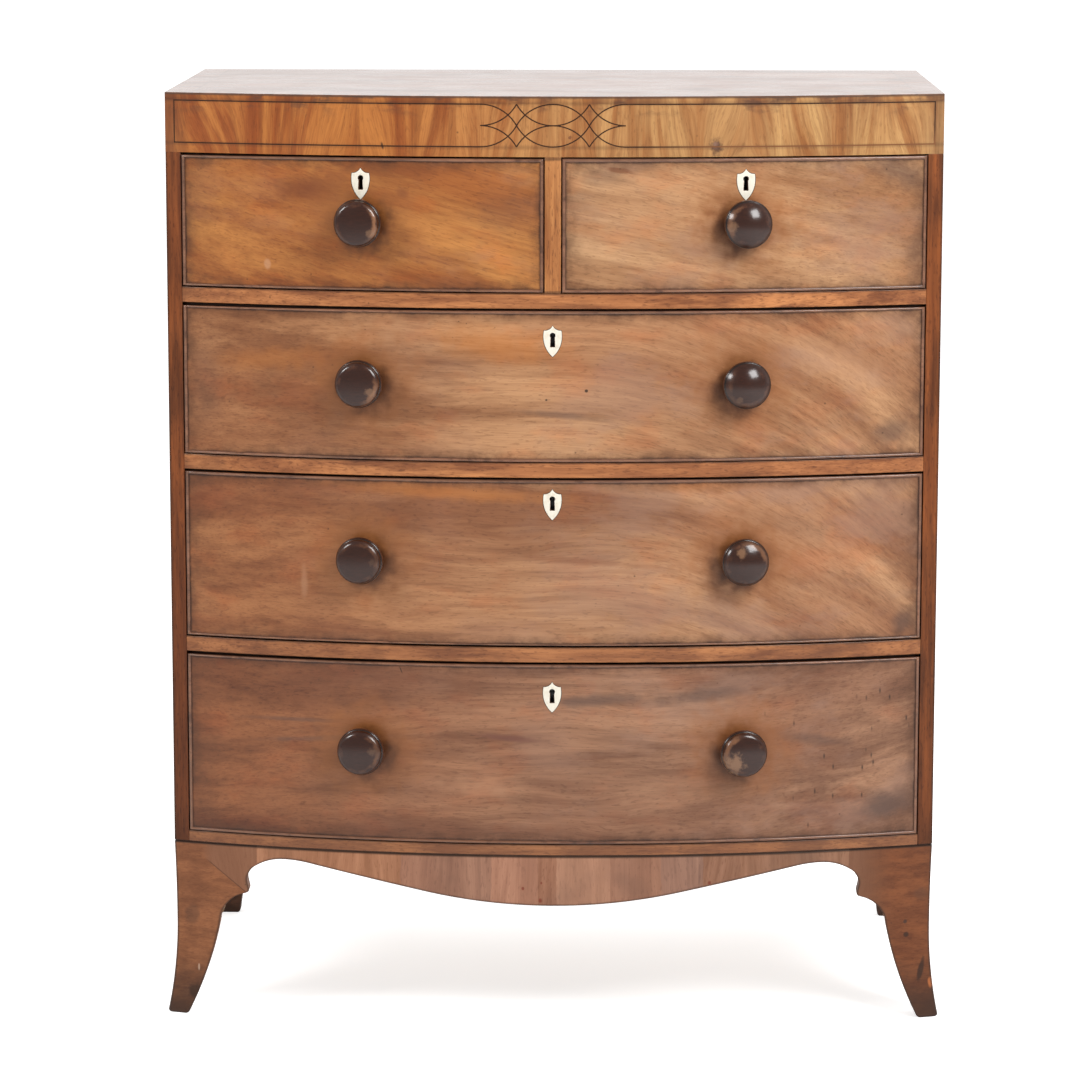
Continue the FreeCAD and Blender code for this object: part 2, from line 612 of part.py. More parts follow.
def front_apron():
    """The shaped apron between the front feet: an arch at each end and a round drop in the middle."""
    joint_x, joint_z = HALF_WIDTH - FOOT_WING, WING_JOINT[1]
    crest_x = HALF_WIDTH - CREST_FROM_EDGE
    crest_z = BASE_HEIGHT - CREST_BELOW_TOP
    slope = math.radians(APRON_SLOPE)

    def on_crest(angle):
        return (crest_x - CREST_RADIUS * math.sin(angle), crest_z - CREST_RADIUS * (1 - math.cos(angle)))

    start = on_crest(slope)
    drop_z = start[1] - (start[0] - DROP_HALF_WIDTH) * math.tan(slope)
    bottom_z = drop_z - DROP_HALF_WIDTH * math.tan(slope / 2)
    near = front_y(0) - MARGIN

    def at(x, z):
        return (x, near, z)

    arch_middle = between((joint_x, joint_z), (crest_x, crest_z), -ARCH_BULGE)
    edges = []
    for side in (1, -1):
        middle_of_crest = on_crest(slope / 2)
        edges.append(line(at(side * joint_x, BASE_HEIGHT), at(side * joint_x, joint_z)))
        edges.append(arc(at(side * joint_x, joint_z), at(side * arch_middle[0], arch_middle[1]),
                         at(side * crest_x, crest_z)))
        edges.append(arc(at(side * crest_x, crest_z), at(side * middle_of_crest[0], middle_of_crest[1]),
                         at(side * start[0], start[1])))
        edges.append(line(at(side * start[0], start[1]), at(side * DROP_HALF_WIDTH, drop_z)))
    edges.append(arc(at(DROP_HALF_WIDTH, drop_z), at(0, bottom_z), at(-DROP_HALF_WIDTH, drop_z)))
    edges.append(line(at(-joint_x, BASE_HEIGHT), at(joint_x, BASE_HEIGHT)))
    outline = prism(Part.__sortEdges__(edges), V(0, BOW_RISE + 2 * BASE_THICKNESS, 0))
    face = bowed_shell(-joint_x, joint_x, 0, BASE_THICKNESS, 0, BASE_HEIGHT - QUIRK_HEIGHT)
    quirk = bowed_shell(-joint_x, joint_x, QUIRK_DEPTH, BASE_THICKNESS,
                        BASE_HEIGHT - QUIRK_HEIGHT, BASE_HEIGHT)
    return fused(face, quirk).common(outline)


def side_apron():
    """The right side apron: straight, with a short arch at each end that runs on into the feet."""
    y0, y1 = CORNER_Y + FOOT_WING, BACK_Y - FOOT_WING
    end_z = WING_JOINT[1]
    crest_z = BASE_HEIGHT - CREST_BELOW_TOP
    run = CREST_FROM_EDGE - FOOT_WING
    x = HALF_WIDTH - BASE_THICKNESS
    corners = [(y0, end_z), (y0 + run, crest_z), (y1 - run, crest_z), (y1, end_z)]
    front_arch = between(corners[0], corners[1], ARCH_BULGE)
    rear_arch = between(corners[2], corners[3], ARCH_BULGE)
    edges = [arc((x, *corners[0]), (x, *front_arch), (x, *corners[1])),
             line((x, *corners[1]), (x, *corners[2])),
             arc((x, *corners[2]), (x, *rear_arch), (x, *corners[3])),
             line((x, *corners[3]), (x, y1, BASE_HEIGHT)),
             line((x, y1, BASE_HEIGHT), (x, y0, BASE_HEIGHT)),
             line((x, y0, BASE_HEIGHT), (x, *corners[0]))]
    apron = prism(edges, V(BASE_THICKNESS, 0, 0))
    return apron.cut(box(HALF_WIDTH - QUIRK_DEPTH, HALF_WIDTH + MARGIN, y0 - MARGIN, y1 + MARGIN,
                         BASE_HEIGHT - QUIRK_HEIGHT, BASE_HEIGHT + MARGIN))


def glue_blocks():
    """Corner blocks inside the feet, and blocks behind the apron."""
    blocks = []
    x1 = HALF_WIDTH - BASE_THICKNESS
    x0 = x1 - BLOCK_SIZE
    front = front_y(x0, BASE_THICKNESS)
    low = BASE_HEIGHT - BLOCK_LENGTH
    corner = box(x0, x1, front, front + BLOCK_SIZE, low, BASE_HEIGHT)
    corner = corner.cut(front_leg(BASE_THICKNESS))
    rear_y = BACK_Y - BASE_THICKNESS
    rear = box(x0, x1, rear_y - BLOCK_SIZE, rear_y, low, BASE_HEIGHT)
    blocks += [corner, rear, mirrored(corner), mirrored(rear)]
    length, depth, height = APRON_BLOCK
    near = inset_y(BASE_THICKNESS)
    block = box(-length / 2, length / 2, near, near + depth, BASE_HEIGHT - height, BASE_HEIGHT)
    inner = bowed_shell(-INSIDE, INSIDE, 0, BASE_THICKNESS, 0, BASE_HEIGHT)
    for i in range(-2, 3):
        blocks.append(on_bow(block, i * APRON_BLOCK_PITCH).cut(inner))
    return group(*blocks)


# The drawers

def knob():
    """A turned knob at the middle of the bow: tenon, collar, neck, rim, quirk, roll and domed face."""
    quirk_radius = KNOB_ROLL_RADIUS + KNOB_ROLL_TUBE
    rim_middle = (KNOB_RIM_BACK + KNOB_RIM_FRONT) / 2
    neck_height = (KNOB_COLLAR_HEIGHT + KNOB_RIM_BACK) / 2
    face_turn = math.acos((KNOB_ROLL_RADIUS - KNOB_FACE_RADIUS) / KNOB_ROLL_TUBE)
    dome_rise = KNOB_DOME_HEIGHT - KNOB_ROLL_CENTRE - KNOB_ROLL_TUBE * math.sin(face_turn)
    dome_radius = (KNOB_FACE_RADIUS ** 2 + dome_rise ** 2) / (2 * dome_rise)
    half_turn = math.asin(KNOB_FACE_RADIUS / dome_radius) / 2

    def at(radius, height):
        return (radius, inset_y(-height), 0)

    def on_roll(angle):
        return at(KNOB_ROLL_RADIUS + KNOB_ROLL_TUBE * math.cos(angle),
                  KNOB_ROLL_CENTRE + KNOB_ROLL_TUBE * math.sin(angle))

    tenon = at(KNOB_TENON_RADIUS, -KNOB_TENON_LENGTH)
    collar = at(KNOB_COLLAR_RADIUS, KNOB_COLLAR_HEIGHT)
    throat = at(KNOB_THROAT_RADIUS, KNOB_RIM_BACK)
    rim = at(KNOB_RADIUS, rim_middle)
    quirk_edge = at(quirk_radius + KNOB_QUIRK_WIDTH, KNOB_RIM_FRONT)
    quirk = at(quirk_radius, KNOB_RIM_FRONT)
    face = on_roll(math.pi - face_turn)
    dome = at(0, KNOB_DOME_HEIGHT)
    dome_middle = at(dome_radius * math.sin(half_turn),
                     KNOB_DOME_HEIGHT - dome_radius * (1 - math.cos(half_turn)))
    edges = [line(at(0, -KNOB_TENON_LENGTH), tenon),
             line(tenon, at(KNOB_TENON_RADIUS, 0)),
             line(at(KNOB_TENON_RADIUS, 0), at(KNOB_COLLAR_RADIUS, 0)),
             line(at(KNOB_COLLAR_RADIUS, 0), collar),
             arc(collar, at(KNOB_NECK_RADIUS, neck_height), throat),
             arc(throat, at(KNOB_BELLY_RADIUS, KNOB_BELLY_HEIGHT), rim),
             arc(rim, at(KNOB_SHOULDER_RADIUS, KNOB_SHOULDER_HEIGHT), quirk_edge),
             line(quirk_edge, quirk),
             line(quirk, on_roll(0)),
             arc(on_roll(0), on_roll(math.pi / 4), on_roll(math.pi / 2)),
             arc(on_roll(math.pi / 2), on_roll((1.5 * math.pi - face_turn) / 2), face),
             arc(face, dome_middle, dome),
             line(dome, at(0, -KNOB_TENON_LENGTH))]
    return Part.Face(Part.Wire(edges)).revolve(V(0, 0, 0), V(0, 1, 0), 360)


def shield(z, near, far):
    """A shield with a pointed crest and hollow shoulders, between two insets, its middle at height z."""
    half_w, half_h = SHIELD_WIDTH / 2, SHIELD_HEIGHT / 2

    def at(side, across, up):
        return (side * across * half_w, inset_y(near), z + up * half_h)

    edges = [arc(*[at(side, *place) for place in places]) for side in (1, -1) for places in SHIELD_ARCS]
    return prism(Part.__sortEdges__(edges), V(0, far - near, 0))


def keyhole(z, near, far):
    """A round hole over a slot that widens downwards, between two insets; z is the middle of the round."""
    depth = V(0, inset_y(far) - inset_y(near), 0)
    round_part = Part.makeCylinder(KEYHOLE_RADIUS, depth.y, V(0, inset_y(near), z), V(0, 1, 0))
    top, foot = KEYHOLE_SLOT_TOP / 2, KEYHOLE_SLOT_FOOT / 2
    y, low = inset_y(near), z - KEYHOLE_LENGTH
    corners = [(-top, y, z), (top, y, z), (foot, y, low), (-foot, y, low), (-top, y, z)]
    slot = prism([line(a, b) for a, b in zip(corners, corners[1:])], depth)
    return fused(round_part, slot)


def screws(top, low):
    """Four countersunk screws through the lock's plate into the drawer front."""
    x = (LOCK_CASE_WIDTH + LOCK_PLATE_WIDTH) / 4
    half = (top - low) / 2 - LOCK_SELVAGE - SCREW_EDGE
    middle = (top + low) / 2
    result = []
    for sx in (-x, x):
        for sz in (middle - half, middle + half):
            face = V(sx, inset_y(FRONT_THICKNESS), sz)
            under = V(sx, inset_y(FRONT_THICKNESS - LOCK_PLATE), sz)
            head = Part.makeCone(SCREW_HEAD_RADIUS, SCREW_RADIUS, LOCK_PLATE, face, V(0, -1, 0))
            shank = Part.makeCylinder(SCREW_RADIUS, SCREW_LENGTH, under, V(0, -1, 0))
            result.append(fused(head, shank))
    return result


def lock_pieces(top, key_z):
    """A till lock at the middle of the bow: its metal, its screws, its bolt and the room that it takes."""
    low = key_z - LOCK_BELOW_KEY
    half_case, half_plate, half_bolt = LOCK_CASE_WIDTH / 2, LOCK_PLATE_WIDTH / 2, BOLT_WIDTH / 2
    front, back = inset_y(FRONT_THICKNESS - LOCK_DEPTH), inset_y(FRONT_THICKNESS)
    plate_y = back - LOCK_PLATE
    case = box(-half_case, half_case, front, plate_y, low, top - LOCK_SELVAGE)
    plate = box(-half_plate, half_plate, plate_y, back, low - LOCK_WALL, top - LOCK_SELVAGE)
    selvage = box(-half_plate, half_plate, front, back, top - LOCK_SELVAGE, top)
    hollow = box(-half_case + LOCK_WALL, half_case - LOCK_WALL, front + LOCK_WALL, plate_y, low + LOCK_WALL,
                 top - LOCK_SELVAGE)
    middle = (front + back) / 2
    bolt = box(-half_bolt, half_bolt, middle - BOLT_THICKNESS / 2, middle + BOLT_THICKNESS / 2,
               top - BOLT_CLEARANCE - BOLT_LENGTH, top - BOLT_CLEARANCE)
    slot = box(-half_bolt - BOLT_CLEARANCE, half_bolt + BOLT_CLEARANCE,
               middle - BOLT_THICKNESS / 2 - BOLT_CLEARANCE, middle + BOLT_THICKNESS / 2 + BOLT_CLEARANCE,
               top - LOCK_SELVAGE - MARGIN, top + MARGIN)
    pin = Part.makeCylinder(KEY_PIN_RADIUS, plate_y - front - LOCK_WALL, V(0, front + LOCK_WALL, key_z),
                            V(0, 1, 0))
    hole = keyhole(key_z, FRONT_THICKNESS - LOCK_DEPTH - MARGIN, FRONT_THICKNESS - LOCK_DEPTH + LOCK_WALL)
    fixings = screws(top, low)
    metal = fused(case, plate, selvage).cut(hollow).cut(slot).cut(hole).cut(Part.makeCompound(fixings))
    plate_room = box(-half_plate, half_plate, plate_y, back + MARGIN, low - LOCK_WALL, top - LOCK_SELVAGE)
    selvage_room = box(-half_plate, half_plate, front, back + MARGIN, top - LOCK_SELVAGE, top + MARGIN)
    room = case.fuse([plate_room, selvage_room] + fixings)
    return metal, [pin] + fixings, bolt, room


def bead_section(point):
    """The outline of a bead; point turns (distance from its outer side, inset) into a place."""
    turns = [math.pi * i / BEAD_FACETS for i in range(BEAD_FACETS + 1)]
    corners = [(BEAD_WIDTH / 2 * (1 - math.cos(turn)), -BEAD_PROUD * math.sin(turn)) for turn in turns]
    corners += [(BEAD_WIDTH, BEAD_DEPTH), (0, BEAD_DEPTH), corners[0]]
    return [line(point(*a), point(*b)) for a, b in zip(corners, corners[1:])]


def level_bead(x0, x1, z1):
    """The top one of the four mitred cock beads round a front whose outline is x0..x1 and ends at z1."""
    reach = BEAD_WIDTH + 1
    face = Part.Face(Part.Wire(bead_section(lambda across, inset: (0, inset_y(inset), z1 - across))))
    start, end = (math.degrees(math.asin(x / BOW_RADIUS)) for x in (x0 - MARGIN, x1 + MARGIN))
    face.rotate(V(0, AXIS_Y, 0), UP, start)
    strip = face.revolve(V(0, AXIS_Y, 0), UP, end - start)
    return strip.common(mitre([(x0, z1), (x1, z1), (x1 - reach, z1 - reach), (x0 + reach, z1 - reach)]))


def upright_bead(outer, z0, z1, turn):
    """A side one of the four, its outer face at x=outer; turn is the sign of the way to the middle."""
    reach = BEAD_WIDTH + 1

    def at(across, inset):
        x = outer + turn * across
        return (x, front_y(x, inset), z0)

    strip = prism(bead_section(at), V(0, 0, z1 - z0))
    return strip.common(mitre([(outer, z0), (outer, z1), (outer + turn * reach, z1 - reach),
                               (outer + turn * reach, z0 + reach)]))


def mitre(corners):
    """The room of one bead, from in front of the bow to behind it; corners are (x, z)."""
    places = [(x, front_y(0) - MARGIN, z) for x, z in corners + corners[:1]]
    depth = V(0, BOW_RISE + BEAD_DEPTH + 2 * MARGIN, 0)
    return prism([line(a, b) for a, b in zip(places, places[1:])], depth)


def beads(x0, x1, z0, z1):
    top = level_bead(x0, x1, z1)
    bottom = top.mirror(V(0, 0, (z0 + z1) / 2), UP)
    return group(top, bottom, upright_bead(x0, z0, z1, 1), upright_bead(x1, z0, z1, -1))


def tails(x0, x1, root, tip, z0, z1):
    """Dovetails between heights z0 and z1, narrow at y=root and wide at y=tip."""
    pitch = (z1 - z0) / DOVETAIL_COUNT
    result = []
    for i in range(DOVETAIL_COUNT):
        middle = z0 + (i + 0.5) * pitch
        wide = pitch * DOVETAIL_SHARE
        narrow = wide - DOVETAIL_FLARE
        corners = [(x0, root, middle - narrow), (x0, root, middle + narrow), (x0, tip, middle + wide),
                   (x0, tip, middle - wide), (x0, root, middle - narrow)]
        result.append(prism([line(a, b) for a, b in zip(corners, corners[1:])], V(x1 - x0, 0, 0)))
    return result


def drawer(name, x0, x1, floor, height, key_drop, knob_places):
    """One drawer: bowed front, beads, dovetailed box, bottom panel, knobs, escutcheon, lock and bolt."""
    left, right = x0 + DRAWER_SIDE_GAP, x1 - DRAWER_SIDE_GAP
    low, high = floor + DRAWER_BOTTOM_GAP, floor + height - DRAWER_TOP_GAP
    middle = (x0 + x1) / 2
    tail_y = INNER_BACK_Y - DRAWER_BACK_ROOM
    back_y = tail_y - BACK_LINING_THICKNESS
    panel_low = low + PANEL_RAISE
    panel_high = panel_low + PANEL_THICKNESS
    side_high = high - SIDE_DROP
    groove = LINING_THICKNESS - PANEL_GROOVE

    full_front = bowed_shell(left, right, 0, FRONT_THICKNESS, low, high)
    panel = bowed_block(left + groove, right - groove, tail_y, panel_low, panel_high,
                        FRONT_THICKNESS - PANEL_GROOVE)
    full_back = box(left, right, back_y, tail_y, panel_high, side_high - BACK_DROP)

    sides, joints = [], []
    for outer, inner in ((left, left + LINING_THICKNESS), (right, right - LINING_THICKNESS)):
        a, b = sorted((outer, inner))
        lap_y = max(front_y(outer, DOVETAIL_LAP), front_y(inner, DOVETAIL_LAP))
        root_y = max(front_y(outer, FRONT_THICKNESS), front_y(inner, FRONT_THICKNESS))
        side = box(a, b, lap_y, tail_y, low, side_high)
        front_tails = [side.common(tail).common(full_front)
                       for tail in tails(a, b, root_y, lap_y, low, side_high)]
        back_tails = tails(a, b, back_y, tail_y, panel_high, side_high - BACK_DROP)
        joints += front_tails
        sides.append((side, back_tails))
    all_back_tails = [tail for side, back_tails in sides for tail in back_tails]
    back = full_back.cut(Part.makeCompound(all_back_tails))
    pinned_front = full_front.cut(Part.makeCompound(joints))
    linings = [side.cut(pinned_front).cut(back).cut(panel) for side, back_tails in sides]

    face = bowed_shell(left + BEAD_WIDTH, right - BEAD_WIDTH, 0, BEAD_DEPTH,
                       low + BEAD_WIDTH, high - BEAD_WIDTH)
    core = bowed_shell(left, right, BEAD_DEPTH, FRONT_THICKNESS, low, high)
    key_z = floor + height - key_drop + KEYHOLE_RISE
    metal, fittings, bolt, room = lock_pieces(high, key_z)
    shield_z = floor + height - key_drop
    inlay = shield(shield_z, -SHIELD_PROUD, SHIELD_INLAY)
    hole = keyhole(key_z, -MARGIN, FRONT_THICKNESS - LOCK_DEPTH)
    bosses = []
    for x in knob_places:
        turned = knob()
        turned.translate(V(0, 0, floor + height / 2 + KNOB_RAISE))
        bosses.append(on_bow(turned, x))
    front = fused(face, core).cut(Part.makeCompound(joints)).cut(panel)
    front = front.cut(on_bow(room.fuse([inlay, hole]), middle))
    front = front.cut(Part.makeCompound(bosses))

    parts[name + "_front"] = front
    parts[name + "_cock_beads"] = beads(left, right, low, high)
    parts[name + "_box"] = group(*linings, back)
    parts[name + "_bottom"] = panel
    parts[name + "_knobs"] = group(*bosses)
    parts[name + "_escutcheon"] = on_bow(inlay.cut(hole), middle)
    parts[name + "_lock"] = on_bow(group(metal, *fittings), middle)
    parts[name + "_bolt"] = on_bow(bolt, middle)


def case():
    """Everything that stands still."""
    nails = back_nails()
    boards = dustboards()
    strings = frieze_strings()
    right_side = case_side()
    rails = [front_rail(floor) for floor in RAIL_FLOORS]
    rails.append(bowed_block(-INSIDE, INSIDE, RAIL_BACK_Y, BASE_HEIGHT, LOWER_FLOOR))
    floor_board = box(-INSIDE, INSIDE, RAIL_BACK_Y, INNER_BACK_Y, BASE_HEIGHT, LOWER_FLOOR)
    facing = bowed_shell(-HALF_WIDTH, HALF_WIDTH, 0, FACING_THICKNESS, FRIEZE_FLOOR, BOARD_TOP)
    right_foot, right_rear_foot, right_apron = front_foot(), rear_foot(), side_apron()

    parts["top_board"] = top_board().cut(nails)
    parts["top_veneers"] = top_veneers()
    parts["side_left"] = mirrored(right_side)
    parts["side_right"] = right_side
    parts["bottom_board"] = floor_board.cut(nails)
    parts["back_boards"] = group(back_boards().cut(nails))
    parts["back_nails"] = nails
    parts["frieze_rail"] = frieze_rail()
    parts["frieze_facing"] = facing.cut(strings)
    parts["frieze_stringing"] = strings
    parts["front_rails"] = group(*[rail.cut(boards) for rail in rails])
    parts["muntin"] = muntin()
    parts["drawer_runners"] = group(runners().cut(boards))
    parts["dustboards"] = boards
    parts["drawer_stops"] = drawer_stops()
    parts["front_apron"] = front_apron()
    parts["side_aprons"] = group(mirrored(right_apron), right_apron)
    parts["front_feet"] = group(mirrored(right_foot), right_foot)
    parts["rear_feet"] = group(mirrored(right_rear_foot), right_rear_foot)
    parts["glue_blocks"] = glue_blocks()


case()
for values in DRAWERS:
    drawer(*values)

os.makedirs("parts", exist_ok=True)
for name, shape in parts.items():
    if not shape.isValid():
        print("not valid:", name)
    shape.exportStep("parts/" + name + ".step")
print(len(parts), "nodes; front corners at y", round(CORNER_Y, 3), "back at y", round(BACK_Y, 3))
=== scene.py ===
"""Bow front chest of drawers in mahogany: the finish of every piece, with its turned knobs, cock beads and
bone escutcheons.

Metres. +X is to the right of someone who faces the chest, +Y runs from the front to the back, +Z is up. The
origin is on the floor, in the middle of the chest.
"""
import bmesh
import bpy
import json
import math
import numpy as np
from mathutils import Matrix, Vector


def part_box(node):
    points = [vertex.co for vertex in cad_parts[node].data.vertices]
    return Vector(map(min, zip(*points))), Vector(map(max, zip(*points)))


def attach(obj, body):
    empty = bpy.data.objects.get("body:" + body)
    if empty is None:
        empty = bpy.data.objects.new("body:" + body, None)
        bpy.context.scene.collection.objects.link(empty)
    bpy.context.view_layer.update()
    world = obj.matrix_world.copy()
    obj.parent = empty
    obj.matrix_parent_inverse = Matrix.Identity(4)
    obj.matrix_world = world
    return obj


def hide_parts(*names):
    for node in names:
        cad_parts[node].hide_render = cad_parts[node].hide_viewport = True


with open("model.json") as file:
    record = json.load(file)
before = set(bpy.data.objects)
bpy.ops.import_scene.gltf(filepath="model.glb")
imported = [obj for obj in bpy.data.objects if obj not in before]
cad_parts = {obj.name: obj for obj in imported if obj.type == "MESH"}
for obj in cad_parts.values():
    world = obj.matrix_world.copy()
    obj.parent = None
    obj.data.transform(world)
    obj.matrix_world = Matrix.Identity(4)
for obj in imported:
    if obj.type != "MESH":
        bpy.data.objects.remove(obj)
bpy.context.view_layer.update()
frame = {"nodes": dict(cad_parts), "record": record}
nodes = frame["nodes"]
body_of_node = {node: body for body, members in frame["record"]["behaviour"]["bodies"].items()
                for node in members}

# The case sides
# Each side is one wide mahogany board with upright grain, and its bowed front edge is the stile beside the
# drawers. The sides carry the rails, and the arrises are softened by wear and polish.

BOW_RISE = 0.070
HALF_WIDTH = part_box("top_veneers")[1].x
FRONT_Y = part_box("frieze_facing")[0].y
BOW_RADIUS = (HALF_WIDTH ** 2 + BOW_RISE ** 2) / (2 * BOW_RISE)
AXIS_Y = FRONT_Y + BOW_RADIUS
BASE_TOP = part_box("side_right")[0].z
MILLIMETRE = 0.001
MERGE = 0.002 * MILLIMETRE  # points closer than this are one


class Bench:
    """A node tree while a finish is laid out on it; each method adds one node and gives back its output."""

    def __init__(self, tree):
        self.tree = tree

    def node(self, kind, sockets, **settings):
        made = self.tree.nodes.new("ShaderNode" + kind)
        for key, value in settings.items():
            setattr(made, key, value)
        for key, value in sockets.items():
            self.feed(made.inputs[key], value)
        return made

    def feed(self, socket, value):
        if isinstance(value, bpy.types.NodeSocket):
            self.tree.links.new(value, socket)
        elif socket.type == "RGBA":
            socket.default_value = (*value[:3], 1.0)
        else:
            socket.default_value = value

    def math(self, operation, a, *others):
        """One operation on the values, from the first to the last."""
        for b in others or (0.0,):
            a = self.node("Math", {0: a, 1: b}, operation=operation).outputs[0]
        return a

    def times(self, *values):
        return self.math("MULTIPLY", *values)

    def plus(self, *values):
        return self.math("ADD", *values)

    def minus(self, a, b):
        return self.math("SUBTRACT", a, b)

    def length(self, vector):
        return self.node("VectorMath", {0: vector}, operation="LENGTH").outputs["Value"]

    def scaled(self, vector, factors):
        return self.node("VectorMath", {0: vector, 1: factors}, operation="MULTIPLY").outputs[0]

    def moved(self, vector, shift):
        return self.node("VectorMath", {0: vector, 1: shift}, operation="ADD").outputs[0]

    def split(self, vector):
        return self.node("SeparateXYZ", {0: vector}).outputs[:3]

    def joined(self, x, y, z):
        return self.node("CombineXYZ", {0: x, 1: y, 2: z}).outputs[0]

    def noise(self, vector, scale=1.0, detail=2.0, roughness=0.5):
        sockets = {"Vector": vector, "Scale": scale, "Detail": detail, "Roughness": roughness}
        return self.node("TexNoise", sockets).outputs[0]

    def ease(self, value, low, high, start=0.0, end=1.0):
        """start below low, end above high, and a smooth step between; low may be above high."""
        sockets = {"Value": value, "From Min": low, "From Max": high, "To Min": start, "To Max": end}
        return self.node("MapRange", sockets, interpolation_type="SMOOTHSTEP").outputs[0]

    def linear(self, value, low, high):
        """0 at low, 1 at high, straight between."""
        return self.node("MapRange", {"Value": value, "From Min": low, "From Max": high}).outputs[0]

    def blend(self, share, a, b, kind="MIX"):
        """The colour a with a share of b over it."""
        return self.node("Mix", {0: share, 6: a, 7: b}, data_type="RGBA", blend_type=kind).outputs[2]

    def tinted(self, colour, tint):
        return self.blend(1.0, colour, tint, "MULTIPLY")

    def layer(self, title):
        """A number that each vertex of the mesh keeps."""
        return self.node("Attribute", {}, attribute_name=title).outputs["Fac"]

    def group(self, name, sockets):
        made = self.node("Group", {}, node_tree=bpy.data.node_groups[name])
        for key, value in sockets.items():
            self.feed(made.inputs[key], value)
        return made.outputs


def new_group(name, takes, gives):
    """An empty node group; takes and gives are {socket: kind}. Gives its bench, entry and exit."""
    tree = bpy.data.node_groups.new(name, "ShaderNodeTree")
    for way, sockets in (("INPUT", takes), ("OUTPUT", gives)):
        for title, kind in sockets.items():
            tree.interface.new_socket(title, in_out=way, socket_type="NodeSocket" + kind)
    return Bench(tree), tree.nodes.new("NodeGroupInput").outputs, tree.nodes.new("NodeGroupOutput").inputs


def make_wood_group():
    """A sawn and polished wood. Place is (along the grain, across it, through it) in metres.

    Slow bands between Dark and Light, Bands per metre of them, wander by Wander metres, with broad clouds of
    Drift over them. Lines sets how strongly the streaks show, and Pores the short dark pores. Height is in
    millimetres.
    """
    bench, entry, leave = new_group(
        "wood", {"Place": "Vector", "Dark": "Color", "Light": "Color", "Drift": "Color", "Wander": "Float",
                 "Bands per metre": "Float", "Seed": "Float", "Lines": "Float", "Pores": "Float",
                 "Cloud": "Float"}, {"Color": "Color", "Height": "Float"})
    seed = entry["Seed"]
    shift = bench.joined(bench.times(seed, 3.7), bench.times(seed, 1.9), seed)
    place = bench.moved(entry["Place"], shift)
    drift = bench.minus(bench.noise(bench.scaled(place, (2.2, 9.0, 4.0))), 0.5)
    ripple = bench.minus(bench.noise(bench.scaled(place, (9.0, 22.0, 9.0))), 0.5)
    course = bench.plus(drift, bench.times(ripple, 0.3))
    across = bench.times(course, bench.times(entry["Wander"], 4.0))
    wavy = bench.moved(place, bench.joined(0.0, across, 0.0))
    pitch = entry["Bands per metre"]
    stretch = bench.joined(bench.times(pitch, 0.1), pitch, pitch)
    bands = bench.noise(bench.scaled(wavy, stretch), detail=5.0, roughness=0.62)
    streaks = bench.noise(bench.scaled(wavy, (6.0, 140.0, 140.0)), detail=3.0, roughness=0.6)
    lines = bench.noise(bench.scaled(wavy, (16.0, 620.0, 620.0)), detail=2.0, roughness=0.6)
    pores = bench.noise(bench.scaled(wavy, (110.0, 520.0, 520.0)), detail=1.0)
    clouds = bench.noise(place, scale=5.0, detail=3.0, roughness=0.55)
    colour = bench.blend(bench.ease(bands, 0.36, 0.64), entry["Dark"], entry["Light"])
    share = bench.times(bench.ease(clouds, 0.38, 0.66), entry["Cloud"])
    colour = bench.blend(share, colour, entry["Drift"])
    for value, low, high, strength, tint in (
            (streaks, 0.43, 0.66, entry["Lines"], (0.52, 0.42, 0.35)),
            (lines, 0.42, 0.70, entry["Lines"], (0.58, 0.49, 0.43)),
            (pores, 0.60, 0.68, entry["Pores"], (0.34, 0.26, 0.21))):
        share = bench.times(bench.ease(value, low, high), strength)
        colour = bench.blend(share, colour, tint, "MULTIPLY")
    ridges = bench.times(bench.ease(lines, 0.4, 0.72), 0.015)
    pits = bench.times(bench.ease(pores, 0.60, 0.68), -0.05)
    bench.feed(leave["Color"], colour)
    bench.feed(leave["Height"], bench.plus(ridges, pits))


def make_surface_group():
    """A hand-polished, much-handled surface: Roughness wanders about Dullness, and Height (millimetres) has
    the slow ripple of an old surface and the fine orange-peel of its polish."""
    bench, entry, leave = new_group("polish", {"Place": "Vector", "Dullness": "Float"},
                                    {"Roughness": "Float", "Height": "Float"})
    place = entry["Place"]
    smudges = bench.noise(place, scale=14.0, detail=4.0, roughness=0.6)
    peel = bench.noise(place, scale=260.0, detail=2.0)
    ripple = bench.noise(place, scale=11.0, detail=1.0)
    uneven = bench.times(bench.minus(smudges, 0.5), 0.3)
    bench.feed(leave["Roughness"], bench.plus(entry["Dullness"], uneven))
    waves = bench.times(ripple, 0.35)
    bench.feed(leave["Height"], bench.plus(waves, bench.times(peel, 0.012)))


def make_bow_group():
    """Inset is how far a place lies behind the bowed front, measured towards the axis of the bow."""
    bench, entry, leave = new_group("bow", {"Place": "Vector"}, {"Inset": "Float"})
    x, y, _ = bench.split(entry["Place"])
    radial = bench.length(bench.joined(x, bench.minus(y, AXIS_Y), 0.0))
    bench.feed(leave["Inset"], bench.minus(BOW_RADIUS, radial))


make_wood_group()
make_surface_group()
make_bow_group()

# dark brown-black for real dirt, and also for painted shade: the dark lines along the rails at the drawer
# gaps and the groove under the case
GRIME_AND_SHADE = (0.022, 0.009, 0.004)


def new_finish(name):
    """A material, the bench of its nodes and the inputs of its Principled shader."""
    material = bpy.data.materials.new(name)
    material.use_nodes = True
    tree = material.node_tree
    tree.nodes.clear()
    shader = tree.nodes.new("ShaderNodeBsdfPrincipled")
    end = tree.nodes.new("ShaderNodeOutputMaterial")
    tree.links.new(shader.outputs[0], end.inputs["Surface"])
    return material, Bench(tree), shader.inputs


